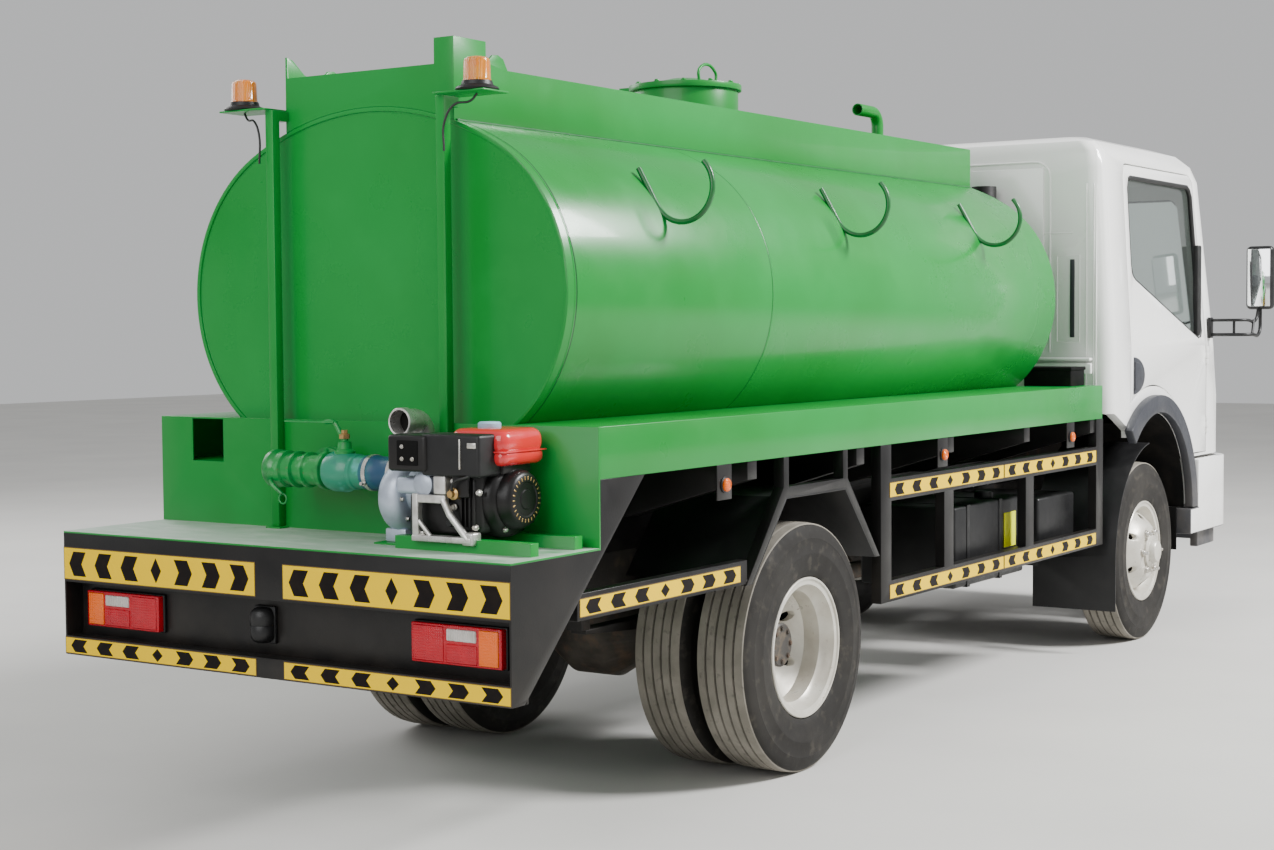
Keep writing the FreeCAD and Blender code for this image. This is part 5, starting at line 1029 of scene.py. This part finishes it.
def engine():
    """The pump's small engine: block, fins, shrouds, air box, petrol tank and hand starter."""
    hub = Vector((pump_x + 0.02, 0, 1.048))
    black = [
        turned("starter_shroud", "y", hub, [
            (-0.56, 0.09), (-0.58, 0.108), (-0.64, 0.112), (-0.668, 0.11), (-0.682, 0.104),
            (-0.69, 0.092)], 64),
        turned("hand_starter", "y", hub, [
            (-0.732, 0.026), (-0.729, 0.029), (-0.729, 0.048), (-0.732, 0.051), (-0.731, 0.07),
            (-0.725, 0.078), (-0.712, 0.084), (-0.696, 0.087), (-0.68, 0.088)], 64),
        turned("silencer", "x", (0, -0.44, 1.185), [
            (-2.94, 0.04), (-2.934, 0.046), (-2.806, 0.046), (-2.8, 0.04)], 36),
        slab("crankcase", (-3.016, -0.6, 0.941), (-2.806, -0.395, 1.07), 0.02, 4),
        slab("block", (-3.026, -0.66, 0.952), (-2.8, -0.585, 1.142), 0.028, 5),
        slab("cylinder_cover", (-2.87, -0.6, 1), (-2.792, -0.42, 1.12), 0.014, 3),
        slab("air_box_rear", (-3.068, -0.505, 1.128), (-2.952, -0.362, 1.234), 0.012, 4),
        slab("air_box_stay", (-3.05, -0.64, 1.06), (-3.034, -0.585, 1.13), 0.004, 3),
        slab("petrol_tank_foot", (-2.96, -0.7, 1.122), (-2.83, -0.56, 1.154), 0.004),
    ]
    for i in range(6):
        low = 1.07 + i * 0.008
        black.append(slab("fin", (-3.02, -0.585, low), (-2.85, -0.44, low + 0.0035), 0.001, 1))
    for i in range(4):
        far = -0.606 - i * 0.015
        black.append(slab("shroud_rib", (-3.034, far, 0.975), (-3.024, far + 0.005, 1.11), 0.002))
    slot_low, slot_high = (hub.x + 0.055, -0.7325, 1.0455), (hub.x + 0.067, -0.722, 1.0505)
    slot = slab("starter_slot", slot_low, slot_high, 0.002, 2)
    tap = turned("fuel_tap", "x", (0, -0.592, 1.07), [
        (-3.07, 0.01), (-3.058, 0.01), (-3.054, 0.017), (-3.03, 0.017), (-3.026, 0)], 20)
    starter_bolt = bolt("starter_bolts", "y", (hub.x + 0.098, -0.688, hub.z), 0.006, -0.01)
    zinc = [
        ring_of(starter_bolt, 3, "y", hub),
        slab("air_box_clip", (-3.064, -0.626, 1.14), (-3.057, -0.62, 1.226), 0.002, 2),
        slab("air_box_catch", (-3.064, -0.68, 1.2), (-3.057, -0.65, 1.216), 0.002, 2),
    ]
    for y, z in ((-0.42, 1.165), (-0.42, 1.2), (-0.458, 1.165)):
        zinc.append(bolt("air_box_screw", "x", (-3.07, y, z), 0.005, -0.005))
    for y, z in ((-0.574, 1.104), (-0.618, 1.086), (-0.664, 1.074), (-0.65, 0.975), (-0.574, 1.03)):
        zinc.append(bolt("engine_bolt", "x", (-3.024, y, z), 0.0075, -0.012))
    for y in (-0.6, -0.47):
        zinc.append(bolt("bed_bolt", "z", (-3.005, y, 0.941), 0.008, 0.007))
    tank = [
        slab("petrol_tank", (-2.99, -0.725, 1.146), (-2.79, -0.52, 1.196), 0.024, 5),
        slab("petrol_tank_top", (-2.99, -0.725, 1.174), (-2.79, -0.52, 1.25), 0.032, 6),
        slab("petrol_tank_seam", (-2.993, -0.728, 1.184), (-2.789, -0.517, 1.189), 0.0022, 2),
    ]
    plastic = [
        slab("air_box", (-3.06, -0.69, 1.118), (-2.952, -0.48, 1.238), 0.01, 4),
        bolt("oil_cap", "x", (-3.02, -0.56, 0.985), 0.013, -0.014),
    ]
    cap = turned("petrol_cap", "z", (-2.88, -0.59, 1.244), [
        (0, 0.031), (0.005, 0.034), (0.018, 0.034), (0.022, 0.029), (0.023, 0)], 36)
    line = bent_bar("fuel_line", [
        (-3.06, -0.592, 1.076), (-3.066, -0.6, 1.1), (-3.054, -0.65, 1.122), (-3, -0.676, 1.15)], 0.004)
    # A darker black patch standing on the air box's face: painted shade of a recess.
    shade_patch = slab("air_box_recess", (-3.071, -0.478, 1.146), (-3.064, -0.4, 1.218), 0.004, 3)
    carburettor = slab("carburettor", (-3.05, -0.56, 1.066), (-3.01, -0.516, 1.12), 0.005, 3)
    whole = assembled(
        "pump_engine_assembled", (black_paint, *black), (bright_zinc, *zinc), (red_enamel, *tank),
        (black_plastic, *plastic), (brass, ring_of(slot, 26, "y", hub), tap), (pale_cap, cap),
        (rubber_trim, line), (liner_and_shade_plastic, shade_patch), (bare_aluminium, carburettor))
    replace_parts(place(whole, "chassis", "black_steel"), "pump_engine")


# Cab trim
def cab_side(height):
    """How far out the door's face stands at a height: upright to the waist, then leaning in."""
    half_width, lean, lean_height = 0.89, 0.049, 0.835
    return half_width - max(height - waist, 0) / lean_height * lean


def window_line():
    """The side window's outline in the leaning plane of the door, with its corners cut."""
    rear, front = front_axle - 0.205, front_axle + 0.8
    top = 2.225
    corners = [Vector(spot) for spot in ((rear, 1.756), (front, 1.44), (front - 0.06, top), (rear, top))]
    points = []
    for i, corner in enumerate(corners):
        before, after = corners[i - 1], corners[(i + 1) % 4]
        points += [corner + (before - corner).normalized() * 0.05,
                   corner * 0.96 + (before + after) * 0.02,
                   corner + (after - corner).normalized() * 0.05]
    return points


def door_trim(side, sign):
    """Window gasket, mirror strip and handle of one door."""
    points = [(x, sign * (cab_side(z) - 0.006), z) for x, z in window_line()]
    gasket = bent_bar("window_gasket_" + side, [*points, points[0]], 0.0075, straight=True)
    channel = bent_bar("window_channel", points[4:11], 0.0125, straight=True)
    front = front_axle + 0.8
    strip = slab("mirror_strip", (front - 0.055, sign * 0.858, 1.47), (front, sign * 0.888, 1.93), 0.008, 4)
    gasket = join("window_gasket_" + side, [gasket, channel, strip])
    place(gasket, side + "_door", "black_plastic", rubber_trim)
    place(handle(side, sign), side + "_door", "black_plastic", flare_plastic)


def handle(side, sign):
    """A door handle: a flat D shape with a raised grip."""
    centre = front_axle - 0.235
    shapes = []
    for size, low, high in ((0.088, 0.884, 0.895), (0.066, 0.89, 0.902)):
        deselect()
        bpy.ops.mesh.primitive_cylinder_add(
            vertices=48, radius=size, depth=high - low, rotation=LAID["y"],
            location=(centre, sign * (low + high) / 2, 1.285),
        )
        bpy.context.object.scale = (1.75, 1, 1)
        shape = settle("door_handle")
        edit()
        bpy.ops.mesh.bisect(
            plane_co=(centre + 0.004, 0, 0), plane_no=(1, 0, 0), clear_inner=True, use_fill=True
        )
        done()
        shapes.append(smooth(round_edges(outward(shape), 0.003, 3)))
    return join("door_handle_" + side, shapes)


def back_panels():
    """The pressed panels and ledges of the cab's back, and the box on the front tray."""
    line_x = cab_back - 0.0005
    turns = [math.radians(angle) for angle in range(0, 91, 15)]
    corner = [(0.515 + 0.075 * math.cos(a), 2.215 + 0.075 * math.sin(a)) for a in turns]
    line = [(0.59, 1.4), (0.59, 2.1), *corner]
    crease = [(line_x, y, z) for y, z in line] + [(line_x, -y, z) for y, z in reversed(line)]
    shapes = [
        slab("cab_back_panel", (1.412, -0.56, 1.395), (cab_back, 0.56, 2.262), 0.003, 3),
        bent_bar("crease", crease, 0.0055, straight=True),
        bent_bar("level_crease", [(line_x, -0.7, 1.955), (line_x, 0.7, 1.955)], 0.004, straight=True),
        slab("ledge", (1.38, -0.8, 1.362), (cab_back, 0.8, 1.376), 0.004, 3),
        slab("low_ledge", (1.396, -0.8, 1.3), (cab_back, 0.8, 1.35), 0.006, 3),
    ]
    vents = []
    for side, sign in SIDES:
        frame_line = [(0.625, 1.45), (0.735, 1.45), (0.735, 1.85), (0.625, 1.85), (0.625, 1.45)]
        points = [(line_x, sign * y, z) for y, z in frame_line]
        shapes.append(bent_bar("side_crease", points, 0.004, straight=True))
        for y in (0.765, 0.8, 0.812):
            low, high = (1.415, sign * y, 1.2), (cab_back, sign * (y + 0.006), 2.18)
            shapes.append(slab("corner_crease", low, high, 0.002, 2))
        vents.append(slab("vent", (1.414, sign * 0.69, 1.47), (1.42, sign * 0.712, 1.832), 0.0025, 3))
    place(join("cab_back_panels", shapes), "cab", "white_paint", white_paint)
    place(join("cab_vents", vents), "cab", "grey_plastic", flare_plastic)
    box = slab("front_tray_box", (1.12, -0.81, 1.249), (1.29, -0.584, 1.33), 0.006, 3)
    lid = slab("front_tray_box_lid", (1.114, -0.814, 1.322), (1.296, -0.58, 1.338), 0.004, 3)
    place(join("front_tray_box", [box, lid]), "chassis", "black_plastic", liner_and_shade_plastic)


def arch_liner(side, sign):
    """The front half of a round wheel arch, with the flap that hangs in front of the wheel."""
    deselect()
    bpy.ops.mesh.primitive_circle_add(
        vertices=72, radius=0.49, location=(arch_x, 0.47 * sign, arch_z), rotation=LAID["y"]
    )
    liner = settle("arch_liner_" + side)
    edit()
    bpy.ops.mesh.extrude_region()
    bpy.ops.transform.translate(value=(0, 0.418 * sign, 0))
    for spot, towards in (((arch_x, 0, arch_z), (0, 0, 1)), ((1.8, 0, arch_z), (1, 0, 0))):
        bpy.ops.mesh.select_all(action="SELECT")
        bpy.ops.mesh.bisect(plane_co=spot, plane_no=towards, clear_inner=True)
    done()
    outward(apply_modifier(liner, "SOLIDIFY", thickness=0.004))
    low = slab("arch_liner_low", (2.448, 0.47 * sign, 0.385), (2.458, 0.86 * sign, 0.602), 0.002)
    place(join("arch_liner_" + side, [smooth(liner, 30), low]), "cab", "black_plastic", liner_and_shade_plastic)


def screen(y, z, out=0.002):
    """A place a little out from the leaning front of the cab."""
    front_x, slope = 3.105, 0.228
    return (front_x - (z - waist) * slope + out, y, z)


def cab_front():
    """The windscreen's gasket and wipers, the head lamps' rings and the intake slots, usual on the type."""
    half = [(0.7, 1.47), (0.737, 1.508), (0.704, 2.14), (0.666, 2.18)]
    far = [(-y, z) for y, z in reversed(half)]
    corners = [screen(y, z) for y, z in far[-1:] + half + far]
    rubber = [bent_bar("windscreen_gasket", corners, 0.01, straight=True)]
    for pivot in (0.36, -0.24):
        rubber.append(turned("wiper_pivot", "x", (3.09, pivot, 1.44), [
            (0, 0.014), (0.028, 0.014), (0.032, 0.01)], 24))
        arm = [(0, 1.44, 0.02), (0.16, 1.48, 0.026), (0.34, 1.52, 0.02)]
        rubber.append(bent_bar("wiper_arm", [screen(pivot - y, z, out) for y, z, out in arm], 0.005))
        blade = [screen(pivot - 0.08, 1.5, 0.01), screen(pivot - 0.58, 1.545, 0.01)]
        rubber.append(bent_bar("wiper_blade", blade, 0.006, straight=True))
    place(join("windscreen_gasket", rubber), "cab", "black_plastic", rubber_trim)
    trims, rings, turn_lenses = [], [], []
    for side, sign in SIDES:
        frame_line = [(0.488, 0.913), (0.792, 0.913), (0.792, 1.087), (0.488, 1.087), (0.488, 0.913)]
        frame_line = [(3.158, sign * y, z) for y, z in frame_line]
        trims.append(bent_bar("lamp_bezel", frame_line, 0.007, straight=True))
        for y in (0.56, 0.68):
            rings.append(hoop("lamp_ring", Vector((3.16, sign * y, 1)), ALONG["x"], 0.05, 0.0035))
        low, high = (3.152, sign * 0.744, 0.922), (3.1615, sign * 0.784, 1.078)
        turn_lenses.append(slab("turn_lens", low, high, 0.003, 3))
    for i in range(4):
        low = 0.94 + 0.036 * i
        trims.append(slab("intake_slot", (3.15, -0.4, low), (3.1608, 0.4, low + 0.014), 0.003, 3))
    place(join("front_trims", trims), "cab", "black_plastic", black_plastic)
    place(join("lamp_rings", rings), "cab", "silver_steel", bright_zinc)
    place(join("turn_lenses", turn_lenses), "cab", "lamp_plastic", amber_lens)


def mirrors():
    """The left mirror on its double arm, and its twin."""
    x = front_axle + 1.11
    root = front_axle + 0.92
    black = [
        slab("mirror_shell", (x - 0.03, 1.03, 1.6), (x + 0.03, 1.17, 1.93), 0.024, 5),
        bent_bar("mirror_arm", [
            (root, 0.888, 1.47), (root, 1.06, 1.47), (root + 0.04, 1.098, 1.47), (x - 0.03, 1.1, 1.472),
            (x - 0.004, 1.1, 1.5), (x, 1.1, 1.56), (x, 1.1, 1.63)], 0.009),
        bent_bar("mirror_stay", [
            (root, 0.888, 1.545), (root, 1.04, 1.545), (root + 0.03, 1.074, 1.545), (x - 0.05, 1.09, 1.545),
            (x - 0.016, 1.095, 1.61)], 0.008),
        bent_bar("mirror_brace", [(root + 0.05, 1.099, 1.472), (root + 0.1, 1.092, 1.545)], 0.007),
        bent_bar("mirror_upright", [(root, 1.02, 1.47), (root, 1.02, 1.545)], 0.007),
        slab("mirror_pad", (root - 0.024, 0.887, 1.452), (root + 0.024, 0.906, 1.56), 0.005, 3),
    ]
    glass = slab("mirror_glass", (x - 0.0315, 1.042, 1.616), (x - 0.028, 1.158, 1.914), 0.0016, 2)
    left = assembled("mirror_left", (black_plastic, *black), (mirror_glass, glass))
    both_sides(left, "cab", "black_plastic")
    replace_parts(left, "mirrors")


def cab_inside():
    """Two seats with padded cushions, the dashboard and the steering wheel."""
    for side, sign in SIDES:
        for part, low, high in (
            ("cushion", (1.535, 0.185 * sign, 1.16), (2.005, 0.655 * sign, 1.3)),
            ("backrest", (1.535, 0.19 * sign, 1.29), (1.65, 0.65 * sign, 1.86)),
        ):
            pad = slab(f"seat_{part}_{side}", low, high, 0.04, 4)
            apply_modifier(pad, "SUBSURF", levels=1, render_levels=1)
            place(smooth(pad, 80), "cab", "black_plastic", seat_cloth)
            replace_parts(pad, "cab_interior")
    front = 3.115
    dash = slab("dashboard", (2.815, -0.798, 1.1), (front, 0.798, 1.418), 0.03, 4)
    low = slab("dashboard_low", (2.98, -0.798, 0.905), (front, 0.798, 1.14), 0.01, 2)
    place(join("dashboard", [dash, low]), "cab", "black_plastic", cabin_plastic)
    centre = Vector((front_axle + 0.66, 0.42, 1.52))
    lean = math.radians(-35)
    away = Vector((math.sin(lean), 0, math.cos(lean)))
    wheel = [hoop("steering_wheel", centre, away, 0.19, 0.014, 56, 14)]
    for y in (-0.185, 0.185):
        wheel.append(bent_bar("spoke", [centre + Vector((0, y, 0)), centre - away * 0.03], 0.012))
    wheel.append(bent_bar("column", [centre - away * reach for reach in (0.02, 0.17, 0.33)], 0.028))
    place(join("steering_wheel", wheel), "cab", "black_plastic", black_plastic)


def small_fittings():
    """The lid's bolts and handle, the coaming's weld beads in a dark green that paints the shade along the
    coaming's foot, and the fuel tank's straps, cap and label.
    """
    manhole = rear_axle + 0.59
    lid_bolt = bolt("lid_bolts", "z", (manhole + 0.203, 0, 2.462), 0.01, 0.009)
    grip = [(-0.06, 2.47), (-0.06, 2.515), (0.06, 2.515), (0.06, 2.47)]
    grip = bent_bar("lid_handle", [(manhole + x, -0.1, z) for x, z in grip], 0.006)
    lid_bolts = join("lid_bolts", [ring_of(lid_bolt, 12, "z", (manhole, 0, 2.46)), grip])
    place(lid_bolts, "lid", "green_paint", green_paint)
    out, foot, top, thick = -0.793, 0.467, 0.803, 0.003
    straps = []
    for x in (0.02, 0.35):
        straps += [
            slab("strap", (x, out, foot), (x + 0.03, out + thick, top), 0.001, 1),
            slab("strap_top", (x, out, top - thick), (x + 0.03, -0.5, top), 0.001, 1),
            slab("strap_low", (x, out, foot), (x + 0.03, -0.5, foot + thick), 0.001, 1),
        ]
    cap = turned("fuel_cap", "z", (0.4, -0.7, 0.8), [
        (0, 0.04), (0.024, 0.04), (0.03, 0.034)], 40)
    place(join("fuel_tank_straps", [*straps, cap]), "chassis", "black_plastic", black_plastic)
    # Weld beads along the coaming's foot, painted dark green: painted shade where the coaming meets the
    # tank.
    low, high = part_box("coaming")
    welds = []
    for side, sign in SIDES:
        ends = [(low.x + 0.01, sign * 0.3435, 2.1605), (high.x - 0.01, sign * 0.3435, 2.1605)]
        welds.append(bent_bar("coaming_weld", ends, 0.005, straight=True))
    place(join("coaming_welds", welds), "chassis", "green_paint", hook_and_shade_paint)
    label = slab("fuel_tank_label", (0.405, -0.7935, 0.592), (0.525, -0.789, 0.738), 0.0008, 1)
    place(label, "chassis", "black_plastic", yellow_label)


kept_nodes()
front_wheel()
rear_wheel()
marker_strips()
lamps()
hose_hooks()
suction_line()
pump_casing()
engine()
for side, sign in SIDES:
    door_trim(side, sign)
back_panels()
for side, sign in SIDES:
    arch_liner(side, sign)
cab_front()
mirrors()
cab_inside()
small_fittings()


# Floor, light and camera
def floor_and_light():
    deselect()
    bpy.ops.mesh.primitive_plane_add(size=60, location=(0, 0, 0))
    floor = settle("floor")
    pale = Finish("pale_floor", (0.64, 0.63, 0.6), 0.85).patches((0.56, 0.55, 0.53), 0.8, 0.3, 0.7, 0.7)
    paint(floor, pale)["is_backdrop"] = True
    world = bpy.data.worlds.new("studio")
    bpy.context.scene.world = world
    world.use_nodes = True
    back = next(n for n in world.node_tree.nodes if n.type == "BACKGROUND")
    back.inputs[0].default_value = (0.95, 0.96, 0.97, 1)
    back.inputs[1].default_value = 0.62
    for name, spot, aim, size, power in (
        ("key", (3.5, -8.5, 8.5), (-0.3, -0.2, 1), 3, 3000),
        ("fill", (-9.5, -0.5, 5), (-2, 0, 1.2), 6, 380),
        ("left", (0, 9, 6), (0, 0, 1), 6, 450),
    ):
        bpy.ops.object.light_add(type="AREA", location=spot)
        lamp = bpy.context.object
        lamp.name = name
        lamp.data.size = size
        lamp.data.energy = power
        away = Vector(aim) - Vector(spot)
        lamp.rotation_euler = away.to_track_quat("-Z", "Y").to_euler()


def camera():
    """The photo's own camera: its place and turn, and its focal length in the photo's pixels."""
    yaw, pitch, roll = (math.radians(angle) for angle in (33.32, -2.855, -0.44))
    focal_pixels, photo_pixels, film = 1988.37, 1274, 36
    forward = Vector((math.cos(pitch) * math.cos(yaw), math.cos(pitch) * math.sin(yaw), math.sin(pitch)))
    right = Vector((math.sin(yaw), -math.cos(yaw), 0))
    up = right.cross(forward)
    across = right * math.cos(roll) + up * math.sin(roll)
    above = up * math.cos(roll) - right * math.sin(roll)
    bpy.ops.object.camera_add(location=(-7.434, -4.093, 1.539))
    eye = bpy.context.object
    eye.rotation_euler = Matrix((across, above, -forward)).transposed().to_euler()
    eye.data.sensor_width = film
    eye.data.lens = film * focal_pixels / photo_pixels
    eye.data.clip_end = 200
    bpy.context.scene.camera = eye


floor_and_light()
camera()

finished_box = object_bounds()
boxes = (("cad", cad_box), ("visual", finished_box))
{name: [list(corner) for corner in box] for name, box in boxes}
